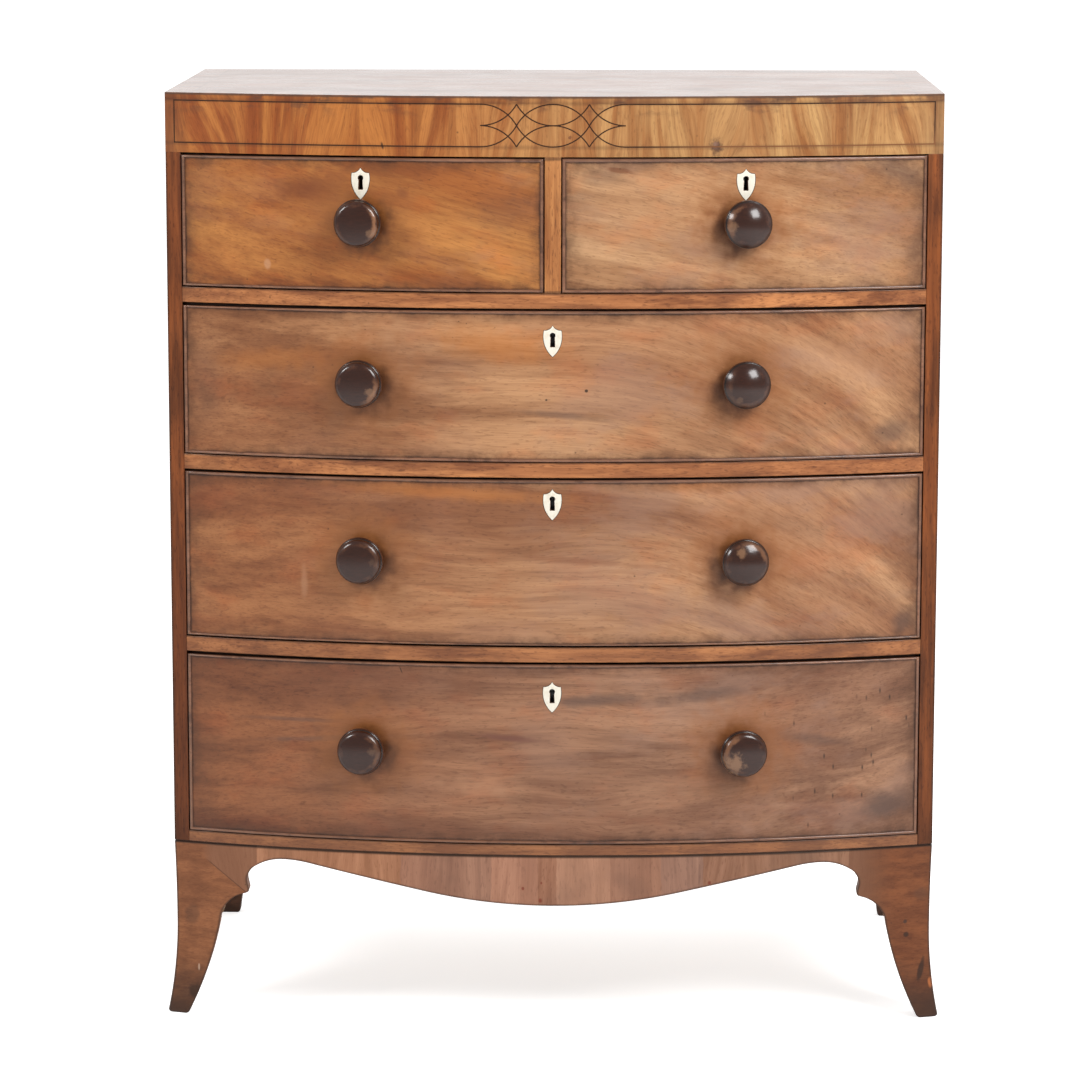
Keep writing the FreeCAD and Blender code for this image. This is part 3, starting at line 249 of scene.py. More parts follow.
def grain_place(bench, spot, order, slope=0.0, sweep=(0.0, 0.0), fan=(0.0, 0.0)):
    """Turns a place into (along, across, through) the grain.

    order names the axes, such as "xzy". The grain leans by slope; past sweep's first number it curves by the
    second; and fan makes upright grain spread: lean and middle height.
    """
    axes = dict(zip("xyz", bench.split(spot)))
    along, across, through = (axes[letter] for letter in order)
    if slope:
        across = bench.plus(across, bench.times(along, slope))
    if sweep[1]:
        past = bench.math("MAXIMUM", bench.minus(along, sweep[0]), 0.0)
        bend = bench.times(past, past, sweep[1])
        across = bench.plus(across, bend)
    if fan[0]:
        lean = bench.minus(bench.noise(bench.joined(bench.times(across, 9.0), 0.0, 3.0)), 0.5)
        rise = bench.times(bench.minus(along, fan[1]), fan[0])
        across = bench.plus(across, bench.times(lean, rise))
    return bench.joined(along, across, through)


def lay_wood(bench, spot, tones, order, wander=0.004, bands=26.0, seed=0.0, lines=0.5, pores=0.5, cloud=0.6,
             **course):
    """Colour and relief of a polished wood; tones are its dark, light and drifting colours."""
    dark, light, drift = tones
    wood = bench.group("wood", {"Place": grain_place(bench, spot, order, **course), "Dark": dark,
                                "Light": light, "Drift": drift, "Wander": wander, "Bands per metre": bands,
                                "Seed": seed, "Lines": lines, "Pores": pores, "Cloud": cloud})
    return wood["Color"], wood["Height"]


def inset_of(bench, spot):
    """How far a place lies behind the bowed front."""
    return bench.group("bow", {"Place": spot})["Inset"]


def fill(bench, shader, colour, roughness, height, distance, strength):
    """Feeds a colour, a roughness and the bump of a height in distances into the shader."""
    bump = bench.node("Bump", {"Height": height, "Distance": distance, "Strength": strength})
    bench.feed(shader["Base Color"], colour)
    bench.feed(shader["Roughness"], roughness)
    bench.feed(shader["Normal"], bump.outputs[0])


def varnish(shader, coating, coat_roughness, gleam=0.5):
    """A clear coat; gleam is the specular level under it."""
    shader["Specular IOR Level"].default_value = gleam
    shader["Coat Weight"].default_value = coating
    shader["Coat Roughness"].default_value = coat_roughness


def coat(bench, shader, spot, colour, relief, dullness=0.40, coating=0.12, strength=0.6, gleam=0.35):
    """Feeds a polished surface into the shader."""
    polish = bench.group("polish", {"Place": spot, "Dullness": dullness})
    height = bench.plus(polish["Height"], relief)
    fill(bench, shader, colour, polish["Roughness"], height, MILLIMETRE, strength)
    varnish(shader, coating, 0.22, gleam)


def object_place(bench):
    return bench.node("TexCoord", {}).outputs["Object"]


def edge_noise(bench, spot, scale=60.0, depth=0.8):
    """A noise about 0 that frays the outlines of marks."""
    rough = bench.noise(spot, scale=scale, detail=3.0)
    return bench.times(bench.minus(rough, 0.5), depth)


def place_piece(name, mesh, body, slot, material, *replaced):
    """Sets a new piece in the scene; it rides on its body and stands for the nodes named last."""
    mesh.materials.clear()
    mesh.materials.append(material)
    piece = bpy.data.objects.new(name, mesh)
    bpy.context.scene.collection.objects.link(piece)
    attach(piece, body)
    if replaced:
        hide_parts(*replaced)
    return piece


def eased(node, slot, material, width=0.6 * MILLIMETRE):
    """A copy of a sawn node with its arrises taken off: doubles merged, flat faces joined, edges bevelled."""
    mesh = nodes[node].data.copy()
    for title in ("custom_normal", "sharp_edge", "sharp_face"):
        if title in mesh.attributes:
            mesh.attributes.remove(mesh.attributes[title])
    shape = bmesh.new()
    shape.from_mesh(mesh)
    bmesh.ops.remove_doubles(shape, verts=shape.verts, dist=MERGE / 2)
    bmesh.ops.dissolve_limit(shape, angle_limit=math.radians(0.05), verts=shape.verts, edges=shape.edges)
    for face in shape.faces:
        face.smooth = True
    shape.to_mesh(mesh)
    shape.free()
    mesh.set_sharp_from_angle(angle=math.radians(32))
    piece = place_piece(node + "_eased", mesh, body_of_node[node], slot, material, node)
    bevel = piece.modifiers.new("arris", "BEVEL")
    bevel.width = width
    bevel.segments = 2
    bevel.limit_method = "ANGLE"
    bevel.angle_limit = math.radians(35)
    bevel.harden_normals = False
    return piece


SIDE_TONES = ((0.17, 0.052, 0.017), (0.33, 0.115, 0.037), (0.22, 0.066, 0.022))
STILE_TONES = ((0.15, 0.04, 0.009), (0.346, 0.096, 0.022), (0.231, 0.06, 0.013))


def side_finish():
    """Upright grain on the board, and the darker, closer grain of the stile on its front edge."""
    material, bench, shader = new_finish("side_board")
    spot = object_place(bench)
    board, relief = lay_wood(bench, spot, SIDE_TONES, "zyx", wander=0.012, bands=14.0, seed=4.0)
    stile, _ = lay_wood(bench, spot, STILE_TONES, "zxy", wander=0.002, bands=90.0, seed=9.0)
    x, _, z = bench.split(spot)
    darker = bench.tinted(stile, (0.92, 0.90, 0.94))
    stile = bench.blend(bench.math("LESS_THAN", x, 0.0), stile, darker)
    paler = bench.tinted(stile, (1.12, 1.12, 1.10))
    deeper = bench.tinted(stile, (0.88, 0.86, 0.84))
    stile = bench.blend(bench.ease(z, 0.36, 0.56), deeper, paler)
    inset = inset_of(bench, spot)
    on_front = bench.ease(inset, 0.0014, 0.0008)
    colour = bench.blend(on_front, board, stile)
    edge = edge_noise(bench, spot)
    grime = bench.ease(bench.plus(inset, bench.times(edge, 0.004)), 0.010, 0.0, 0.0, 0.35)
    colour = bench.blend(grime, colour, GRIME_AND_SHADE)
    arris = bench.ease(bench.math("ABSOLUTE", x), HALF_WIDTH - 0.0035, HALF_WIDTH - 0.0006, 0.0, 0.6)
    colour = bench.blend(bench.times(arris, on_front), colour, GRIME_AND_SHADE)
    low = bench.ease(z, BASE_TOP + 0.05, BASE_TOP, 0.0, 0.35)
    colour = bench.blend(low, colour, GRIME_AND_SHADE)
    coat(bench, shader, spot, colour, relief, dullness=0.42, coating=0.0, gleam=0.25)
    return material


side_wood = side_finish()
for side_node in ("side_left", "side_right"):
    eased(side_node, "side_mahogany", side_wood)

# The top
# A deal board, its ends faced with mahogany, carries mahogany veneers a millimetre thick: a long-grained
# field, with crossbanding along the front and at both ends. The joints between them are fine dark lines.

CROSSBAND = 0.032
TOP_TONES = ((0.20, 0.085, 0.045), (0.36, 0.17, 0.10), (0.28, 0.12, 0.066))


def dress(node, material):
    """Gives a node its finish."""
    materials = nodes[node].data.materials
    if not len(materials):
        materials.append(material)
    for slot in nodes[node].material_slots:
        slot.material = material


def top_finish():
    material, bench, shader = new_finish("top_veneer")
    spot = object_place(bench)
    field, relief = lay_wood(bench, spot, TOP_TONES, "xyz", wander=0.02, bands=13.0, seed=2.0)
    ends, _ = lay_wood(bench, spot, TOP_TONES, "xyz", wander=0.003, bands=60.0, seed=7.0)
    front, _ = lay_wood(bench, spot, TOP_TONES, "yxz", wander=0.003, bands=60.0, seed=8.0)
    inset = inset_of(bench, spot)
    side_way = bench.math("ABSOLUTE", bench.split(spot)[0])
    border = HALF_WIDTH - CROSSBAND
    colour = bench.blend(bench.math("LESS_THAN", inset, CROSSBAND), field, front)
    colour = bench.blend(bench.math("GREATER_THAN", side_way, border), colour, ends)
    for value, line in ((inset, CROSSBAND), (side_way, border)):
        way = bench.math("ABSOLUTE", bench.minus(value, line))
        colour = bench.blend(bench.ease(way, 0.0006, 0.0002, 0.0, 0.8), colour, GRIME_AND_SHADE)
    edge = edge_noise(bench, spot, scale=22.0)
    rings = bench.noise(spot, scale=9.0, detail=4.0, roughness=0.7)
    colour = bench.blend(bench.ease(rings, 0.56, 0.7, 0.0, 0.35), colour, GRIME_AND_SHADE)
    worn = bench.ease(bench.plus(inset, bench.times(edge, 0.006)), 0.004, 0.0, 0.0, 0.5)
    colour = bench.blend(worn, colour, GRIME_AND_SHADE)
    coat(bench, shader, spot, colour, relief, dullness=0.28, coating=0.6, strength=0.3, gleam=0.5)
    return material


dress("top_veneers", top_finish())


def make_speck_group():
    """Scattered specks and dashes: cells of the given Scale per metre, each with a dot of Size cells if the
    cell's own random number is below Share. Place may be stretched beforehand, which draws the dots out."""
    bench, entry, leave = new_group("specks", {"Place": "Vector", "Scale": "Float", "Size": "Float",
                                               "Share": "Float"}, {"Mask": "Float"})
    cells = bench.node("TexVoronoi", {"Vector": entry["Place"], "Scale": entry["Scale"]})
    dot = bench.ease(cells.outputs["Distance"], entry["Size"], 0.0)
    chosen = bench.math("LESS_THAN", bench.split(cells.outputs["Color"])[0], entry["Share"])
    bench.feed(leave["Mask"], bench.times(dot, chosen))


def scatter(bench, place, scale, size, share):
    """Where the specks are, from 0 to 1."""
    return bench.group("specks", {"Place": place, "Scale": scale, "Size": size, "Share": share})["Mask"]


make_speck_group()


def deal_finish(name, order, seed, tones, dust=0.25, knots=0.5, faced=None):
    """Plain sawn softwood, browned by age: strong year rings, a few knots, and dust. Ends further than faced
    from the middle are faced with mahogany, its grain from front to back."""
    material, bench, shader = new_finish(name)
    spot = object_place(bench)
    longer = bench.scaled(spot, tuple(0.28 if axis == order[0] else 1.0 for axis in "xyz"))
    colour, relief = lay_wood(bench, longer, tones, order, wander=0.010, bands=40.0, seed=seed, lines=0.30,
                              pores=0.1, cloud=0.4)
    along = bench.scaled(grain_place(bench, spot, order), (4.0, 11.0, 11.0))
    knot = scatter(bench, along, 1.0, 0.16, 0.25)
    colour = bench.blend(bench.times(knot, knots), colour, (0.10, 0.045, 0.018))
    dirt = bench.ease(bench.noise(spot, scale=7.0, detail=5.0, roughness=0.7), 0.45, 0.72, 0.0, dust)
    colour = bench.blend(dirt, colour, (0.09, 0.065, 0.045))
    if faced:
        facing, _ = lay_wood(bench, spot, SIDE_TONES, "yzx", wander=0.004, bands=40.0, seed=seed + 1.0)
        past = bench.math("GREATER_THAN", bench.math("ABSOLUTE", bench.split(spot)[0]), faced)
        colour = bench.blend(past, colour, facing)
    coat(bench, shader, spot, colour, relief, dullness=0.72, coating=0.0, strength=0.9)
    return material


DEAL_TONES = ((0.30, 0.165, 0.072), (0.48, 0.30, 0.15), (0.36, 0.20, 0.095))
dress("top_board", deal_finish("top_core", "xyz", 3.0, DEAL_TONES, faced=HALF_WIDTH - 0.0005))

# The back and the bottom
# Four upright deal boards lie in rebates and are nailed to the top and bottom boards with cut iron nails.
# They were never polished, so they are brown with age and dust. The bottom board is deal too.

BACK_TONES = ((0.20, 0.115, 0.055), (0.34, 0.215, 0.115), (0.25, 0.15, 0.078))
dress("back_boards", deal_finish("back_deal", "zxy", 5.0, BACK_TONES, dust=0.5, knots=0.8))
dress("bottom_board", deal_finish("bottom_deal", "xyz", 6.0, DEAL_TONES, dust=0.4))


def iron_finish():
    """Hand-cut iron, blackened and rusty."""
    material, bench, shader = new_finish("cut_iron")
    spot = object_place(bench)
    rust = bench.noise(spot, scale=420.0, detail=4.0, roughness=0.65)
    colour = bench.blend(bench.ease(rust, 0.4, 0.62), (0.045, 0.036, 0.032), (0.16, 0.058, 0.022))
    fill(bench, shader, colour, bench.ease(rust, 0.35, 0.65, 0.45, 0.85), rust, 0.3 * MILLIMETRE, 0.8)
    bench.feed(shader["Metallic"], bench.ease(rust, 0.6, 0.4, 0.1, 0.85))
    return material


dress("back_nails", iron_finish())

# The frieze
# A bowed mahogany rail under the top is faced with cross-grained veneer whose flame stands upright. A string
# of black-stained wood is let into it: a long rectangle, laced together in the middle.

FRIEZE_TONES = ((0.293, 0.109, 0.028), (0.523, 0.297, 0.112), (0.36, 0.158, 0.051))
STRING_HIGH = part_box("frieze_stringing")[1].z
STRING_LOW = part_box("frieze_stringing")[0].z
FRIEZE_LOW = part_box("frieze_facing")[0].z
CASE_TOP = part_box("top_veneers")[1].z
FRIEZE_MIDDLE = (FRIEZE_LOW + CASE_TOP) / 2
KNOT = (0.1862, 1.0383)
NICK = (-0.1953, 1.0384)


def make_blot_group():
    """A soft-edged oval on the front: 1 inside and 0 outside the oval of the given halves about Middle,
    turned by Turn radians. Edge is a noise about 0 that makes its outline ragged, and Soft the share that
    fades."""
    bench, entry, leave = new_group(
        "blot", {"Place": "Vector", "Middle": "Vector", "Half width": "Float", "Half height": "Float",
                 "Turn": "Float", "Soft": "Float", "Edge": "Float"}, {"Mask": "Float"})
    way = bench.node("VectorMath", {0: entry["Place"], 1: entry["Middle"]}, operation="SUBTRACT").outputs[0]
    x, _, z = bench.split(way)
    cosine, sine = bench.math("COSINE", entry["Turn"]), bench.math("SINE", entry["Turn"])
    along = bench.plus(bench.times(x, cosine), bench.times(z, sine))
    across = bench.minus(bench.times(z, cosine), bench.times(x, sine))
    oval = bench.joined(bench.math("DIVIDE", along, entry["Half width"]),
                        bench.math("DIVIDE", across, entry["Half height"]), 0.0)
    ragged = bench.plus(bench.length(oval), entry["Edge"])
    inner = bench.minus(1.0, entry["Soft"])
    bench.feed(leave["Mask"], bench.ease(ragged, 1.0, inner))


def mark(bench, colour, spot, edge, x, z, half_width, half_height, tone, strength=0.7, turn=0.0, soft=0.7):
    """Lays one soft-edged stain, patch or scratch over a colour."""
    mask = bench.group("blot", {"Place": spot, "Middle": (x, 0.0, z), "Half width": half_width,
                                "Half height": half_height, "Turn": math.radians(turn), "Soft": soft,
                                "Edge": edge})["Mask"]
    return bench.blend(bench.times(mask, strength), colour, tone)


def flattened(bench, spot):
    """A place on the front, whatever its depth."""
    return bench.scaled(spot, (1.0, 0.0, 1.0))


make_blot_group()


def frieze_finish():
    material, bench, shader = new_finish("frieze_veneer")
    spot = object_place(bench)
    edge = edge_noise(bench, spot)
    colour, relief = lay_wood(bench, spot, FRIEZE_TONES, "zxy", wander=0.003, bands=42.0, seed=1.0,
                              fan=(3.2, FRIEZE_MIDDLE), cloud=0.5, lines=0.4, pores=0.25)
    x, _, z = bench.split(spot)
    blocks = bench.noise(bench.joined(bench.times(x, 16.0), 0.0, 0.0), detail=2.0)
    above = bench.ease(z, STRING_HIGH - 0.001, STRING_HIGH)
    dark_block = bench.times(bench.ease(blocks, 0.44, 0.54), above)
    colour = bench.blend(bench.times(dark_block, 0.6), colour, (0.13, 0.038, 0.012))
    # darker and redder towards the left: partly the veneer's own tone, partly painted shade of the side that
    # gets less light
    deepened = bench.tinted(colour, (0.88, 0.55, 0.30))
    colour = bench.blend(bench.ease(x, 0.12, -0.22), colour, deepened)
    smudges = bench.noise(bench.scaled(spot, (26.0, 26.0, 60.0)), detail=4.0, roughness=0.65)
    high = bench.ease(z, CASE_TOP - 0.030, CASE_TOP - 0.004)
    colour = bench.blend(bench.times(bench.ease(smudges, 0.50, 0.68, 0.0, 0.8), high), colour,
                         (0.085, 0.034, 0.018))
    frayed = edge_noise(bench, spot, scale=240.0, depth=1.3)
    flat = flattened(bench, spot)
    colour = mark(bench, colour, flat, frayed, *KNOT, 0.0095, 0.0135, (0.055, 0.020, 0.013), 0.85, soft=0.75)
    colour = mark(bench, colour, flat, frayed, KNOT[0] - 0.001, KNOT[1] + 0.002, 0.0042, 0.0065,
                  (0.27, 0.15, 0.115), 0.6, soft=0.8)
    colour = mark(bench, colour, flat, frayed, 0.0195, STRING_LOW + 0.0115, 0.0024, 0.0026,
                  (0.14, 0.045, 0.018), 0.8, soft=0.5)
    colour = mark(bench, colour, spot, edge, *NICK, 0.0022, 0.006, GRIME_AND_SHADE, 0.9, turn=15)
    top_line = bench.ease(z, CASE_TOP - 0.0032, CASE_TOP - 0.0016, 0.0, 0.75)
    colour = bench.blend(top_line, colour, (0.05, 0.03, 0.022))
    ends = bench.ease(bench.plus(bench.math("ABSOLUTE", x), bench.times(edge, 0.03)), 0.415, 0.45, 0.0, 0.45)
    colour = bench.blend(ends, colour, (0.10, 0.042, 0.018))
    strings = bench.math("MINIMUM", bench.math("ABSOLUTE", bench.minus(z, STRING_HIGH)),
                         bench.math("ABSOLUTE", bench.minus(z, STRING_LOW)))
    halo = bench.ease(bench.plus(strings, bench.times(edge, 0.003)), 0.004, 0.0, 0.0, 0.3)
    colour = bench.blend(halo, colour, GRIME_AND_SHADE)
    specks = scatter(bench, spot, 55.0, 0.11, 0.2)
    colour = bench.blend(bench.times(specks, 0.7), colour, GRIME_AND_SHADE)
    coat(bench, shader, spot, colour, relief, dullness=0.40)
    return material


def string_finish():
    material, bench, shader = new_finish("black_string")
    spot = object_place(bench)
    wear = bench.noise(spot, scale=90.0, detail=4.0, roughness=0.7)
    colour = bench.blend(bench.ease(wear, 0.45, 0.7, 0.0, 0.4), (0.030, 0.011, 0.005), (0.085, 0.032, 0.013))
    x, _, z = bench.split(spot)
    faint = bench.times(bench.ease(x, 0.10, 0.20, 0.0, 0.75), bench.ease(z, FRIEZE_MIDDLE, STRING_LOW))
    colour = bench.blend(faint, colour, (0.22, 0.085, 0.032))
    coat(bench, shader, spot, colour, bench.times(wear, 0.05), dullness=0.5, coating=0.0, gleam=0.2)
    return material


dress("frieze_facing", frieze_finish())
dress("frieze_stringing", string_finish())
dress("frieze_rail", deal_finish("rail_core", "xzy", 11.0, DEAL_TONES))

# Rails and muntin
# Solid mahogany rails are stub-tenoned into the sides between the drawers, with a short muntin between the
# two upper ones. Their front edges follow the bow, and the arrises are rounded by use.

RAIL_TONES = ((0.222, 0.072, 0.024), (0.522, 0.207, 0.071), (0.34, 0.119, 0.039))
MUNTIN_TONES = ((0.324, 0.114, 0.029), (0.552, 0.247, 0.081), (0.432, 0.161, 0.047))
RAIL_EDGES = [corner.z for row in ("long_lower", "long_middle", "long_upper", "short_left")
              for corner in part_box(row + "_cock_beads")]


def rail_finish(name, tones, order, seed):
    """Close grain, patchy with age; where a rail ends at a drawer, a ragged dark line follows its edge."""
    material, bench, shader = new_finish(name)
    spot = object_place(bench)
    edge = edge_noise(bench, spot)
    colour, relief = lay_wood(bench, spot, tones, order, wander=0.003, bands=60.0, seed=seed)
    z = bench.split(spot)[2]
    low = bench.ease(z, BASE_TOP + 0.45, BASE_TOP, 0.0, 0.5)
    colour = bench.blend(low, colour, (0.14, 0.056, 0.025))
    patches = bench.ease(bench.noise(spot, scale=12.0, detail=4.0), 0.55, 0.7, 0.0, 0.4)
    colour = bench.blend(patches, colour, (0.12, 0.042, 0.016))
    specks = scatter(bench, spot, 70.0, 0.12, 0.15)
    colour = bench.blend(bench.times(specks, 0.7), colour, GRIME_AND_SHADE)
    inset = inset_of(bench, spot)
    inner = bench.ease(inset, 0.002, 0.012, 0.0, 0.8)
    colour = bench.blend(inner, colour, (0.045, 0.020, 0.010))
    # grime and painted shadow of the drawer gaps: a ragged dark line along each rail edge where a drawer
    # meets it
    ways = [bench.math("ABSOLUTE", bench.minus(z, edge_z)) for edge_z in RAIL_EDGES]
    nearest = ways[0]
    for way in ways[1:]:
        nearest = bench.math("MINIMUM", nearest, way)
    ragged = bench.plus(nearest, bench.times(edge, 0.0035))
    colour = bench.blend(bench.ease(ragged, 0.0032, 0.0008, 0.0, 0.6), colour, GRIME_AND_SHADE)
    coat(bench, shader, spot, colour, relief, dullness=0.40)
    return material


eased("front_rails", "rail_mahogany", rail_finish("rail_wood", RAIL_TONES, "xzy", 12.0), 0.7 * MILLIMETRE)
eased("muntin", "rail_mahogany", rail_finish("muntin_wood", MUNTIN_TONES, "zxy", 13.0), 0.6 * MILLIMETRE)

# Runners, dustboards and stops
# Behind the rails lie oak runners and the thin deal dustboards grooved into them; small oak stops are glued
# on the rails where each drawer meets them. All of it is plain, planed and a little worn.

OAK_TONES = ((0.26, 0.155, 0.072), (0.44, 0.295, 0.155), (0.33, 0.205, 0.105))


def oak_finish(name, order, seed, tones=OAK_TONES):
    """Planed oak, never polished: open pores, a faint silvery ray figure and smoky handling marks."""
    material, bench, shader = new_finish(name)
    spot = object_place(bench)
    colour, relief = lay_wood(bench, spot, tones, order, wander=0.004, bands=38.0, seed=seed, lines=0.6,
                              pores=0.75, cloud=0.4)
    rays = bench.noise(bench.scaled(grain_place(bench, spot, order), (60.0, 210.0, 30.0)), detail=2.0)
    colour = bench.blend(bench.ease(rays, 0.60, 0.70, 0.0, 0.35), colour, (0.50, 0.37, 0.22))
    smoke = bench.ease(bench.noise(spot, scale=8.0, detail=4.0, roughness=0.65), 0.5, 0.72, 0.0, 0.4)
    colour = bench.blend(smoke, colour, (0.12, 0.075, 0.042))
    coat(bench, shader, spot, colour, relief, dullness=0.62, coating=0.0, strength=0.9)
    return material


dress("drawer_runners", oak_finish("runner_oak", "yxz", 14.0))
dress("dustboards", deal_finish("dustboard_deal", "xyz", 15.0, DEAL_TONES, dust=0.45))
dress("drawer_stops", oak_finish("stop_oak", "xzy", 16.0))

# The base
# The apron and the bracket feet are deal faced with mahogany, upright-grained strips on the apron and level
# grain down the legs. A shadow groove parts them from the bottom rail, and glue blocks stiffen them behind.

# The sizes of the base are in millimetres, and the points of its outlines (distance from the case edge,
# height).
THICKNESS = 22.0
QUIRK_LOW, QUIRK_INSET = 208.0, 1.5
CASE_EDGE = HALF_WIDTH * 1000
CORNER_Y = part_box("side_right")[0].y * 1000
BACK_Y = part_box("side_right")[1].y * 1000
WING, WING_LOW = 100.0, 186.0
CREST_OUT, CREST_LOW, CREST_RADIUS = 134.0, 195.0, 140.0
DROP_HALF, APRON_SLOPE = 150.0, 11.5
TOE, SHIN, HEEL, SHOULDER, CUSP, NECK = (15, 0), (41, 62), (54.5, 114), (65, 139), (91.5, 152), (87, 169)
BACK_TOE, BACK_SHIN = (34, 0), (44, 58)
WAIST_HEIGHT, SPLAY, SIDE_WAIST = 111.0, 10.0, 2.0
FAR = 99.0  # further than any arris


def bow_y(x, inset=0.0):
    """Where the surface that lies inset behind the bowed front is, at x: the circle of the bow."""
    return AXIS_Y - np.sqrt((BOW_RADIUS - inset) ** 2 - x ** 2)


def arc_through(a, b, c, count):
    """Points on the circle through a, b and c, from a to c. Its centre is where the lines that halve ab and
    bc at right angles meet, and the angle runs evenly from a to c."""
    a, b, c = (np.asarray(point, float) for point in (a, b, c))
    centre = np.linalg.solve([b - a, c - b], [(b @ b - a @ a) / 2, (c @ c - b @ b) / 2])
    angles = np.unwrap([math.atan2(point[1] - centre[1], point[0] - centre[0]) for point in (a, b, c)])
    turn = np.linspace(angles[0], angles[2], count)
    return centre + np.linalg.norm(a - centre) * np.column_stack([np.cos(turn), np.sin(turn)])


def bulged(a, b, bulge, count):
    """An arc from a to b whose middle stands off their line by bulge."""
    a, b = np.array(a, float), np.array(b, float)
    way = (b - a) / np.linalg.norm(b - a)
    return arc_through(a, (a + b) / 2 + bulge * np.array([-way[1], way[0]]), b, count)


def woven(name, places, round_rows, round_columns, sharp=35.0, **layers):
    """A mesh from a grid of places (rows, columns, 3): each cell is a quad, and a closed direction joins its
    last line to its first. Doubles are merged, so a pole or seam is closed, and the faces turned outwards.
    Each of layers is a number per place (rows, columns), kept as an attribute."""
    rows, columns = places.shape[:2]
    index = np.arange(rows * columns).reshape(rows, columns)
    if round_rows:
        index = np.vstack([index, index[:1]])
    if round_columns:
        index = np.column_stack([index, index[:, :1]])
    corners = index[:-1, :-1], index[:-1, 1:], index[1:, 1:], index[1:, :-1]
    quads = np.stack(corners, axis=-1).reshape(-1, 4)
    mesh = bpy.data.meshes.new(name)
    mesh.from_pydata(places.reshape(-1, 3), [], quads)
    for title, values in layers.items():
        mesh.attributes.new(title, "FLOAT", "POINT").data.foreach_set("value", values.ravel())
    shape = bmesh.new()
    shape.from_mesh(mesh)
    bmesh.ops.remove_doubles(shape, verts=shape.verts, dist=MERGE)
    bmesh.ops.recalc_face_normals(shape, faces=shape.faces)
    for face in shape.faces:
        face.smooth = True
    shape.to_mesh(mesh)
    shape.free()
    mesh.set_sharp_from_angle(angle=math.radians(sharp))
    return mesh


def eased_loops(corners, radii, steps):
    """Closed outlines, one per row, from their corners (rows, corners, 2).

    Each corner is a curve (1-t)^2 start + 2t(1-t) corner + t^2 end, which leaves the edges at its radius from
    the corner, or just under half of a shorter edge; between corners an edge is steps straight parts.
    """
    after = np.roll(corners, -1, axis=1)
    length = np.linalg.norm(after - corners, axis=2, keepdims=True)
    way = (after - corners) / np.maximum(length, 1e-9)
    shorter = np.minimum(length, np.roll(length, 1, axis=1))
    reach = np.minimum(np.broadcast_to(radii, corners.shape[:2])[..., None], 0.45 * shorter)
    start = corners - np.roll(way, 1, axis=1) * reach
    end = corners + way * reach
    t = np.linspace(0, 1, 5)[:, None]
    pieces = []
    for number, parts in enumerate(steps):
        first, peak, last = (values[:, number, None] for values in (start, corners, end))
        pieces.append((1 - t) ** 2 * first + 2 * t * (1 - t) * peak + t ** 2 * last)
        share = np.linspace(0, 1, parts + 1)[1:-1, None]
        pieces.append(last + share * (start[:, (number + 1) % len(steps), None] - last))
    return np.concatenate(pieces, axis=1)


def capped(loops, fold):
    """Adds a first and a last row that lie on the middle line of the end loops, which closes the piece's
    ends. Each loop runs out along one side and back along the other; fold is how many points its last edge
    has."""
    ends = loops[[0, -1]]
    middle = (ends + np.roll(ends[:, ::-1], -fold, axis=1)) / 2
    return np.concatenate([middle[:1], loops, middle[1:]])


def splay(height, waist):
    """How far a leg's face stands out at each height: an arc from the toe in to the waist, and an arc back to
    the case, both upright at the waist."""
    fall = SPLAY + waist
    low_radius = (WAIST_HEIGHT ** 2 + fall ** 2) / (2 * fall)
    below = np.clip(WAIST_HEIGHT - height, 0, None)
    out = low_radius - np.sqrt(low_radius ** 2 - below ** 2) - waist
    if waist:
        rise = QUIRK_LOW - WAIST_HEIGHT
        high_radius = (rise ** 2 + waist ** 2) / (2 * waist)
        above = np.clip(height - WAIST_HEIGHT, 0, rise)
        out = out + high_radius - np.sqrt(high_radius ** 2 - above ** 2)
    return out


def leg_outline():
    """A front leg from its toe up: shin, heel, shoulder, cusp, neck and the wing that meets the apron. The
    points round the cusp are averaged with their neighbours, which rounds its tip."""
    neck_to_wing = bulged((WING, WING_LOW), NECK, -2.4, 9)[::-1]
    cusp_to_neck = bulged(NECK, CUSP, -0.2, 9)[::-1]
    outline = np.vstack([arc_through(TOE, SHIN, HEEL, 30), arc_through(HEEL, SHOULDER, CUSP, 24)[1:],
                         cusp_to_neck[1:], neck_to_wing[1:]])
    for _ in range(5):
        outline[40:-4] = (outline[39:-5] + 2 * outline[40:-4] + outline[41:-3]) / 4
    return outline


def back_outline():
    """The plain bracket along the back, from its toe up."""
    shin_to_wing = bulged((WING, WING_LOW), BACK_SHIN, -8.0, 30)[::-1]
    return np.vstack([bulged(BACK_SHIN, BACK_TOE, -0.8, 16)[::-1], shin_to_wing[1:]])


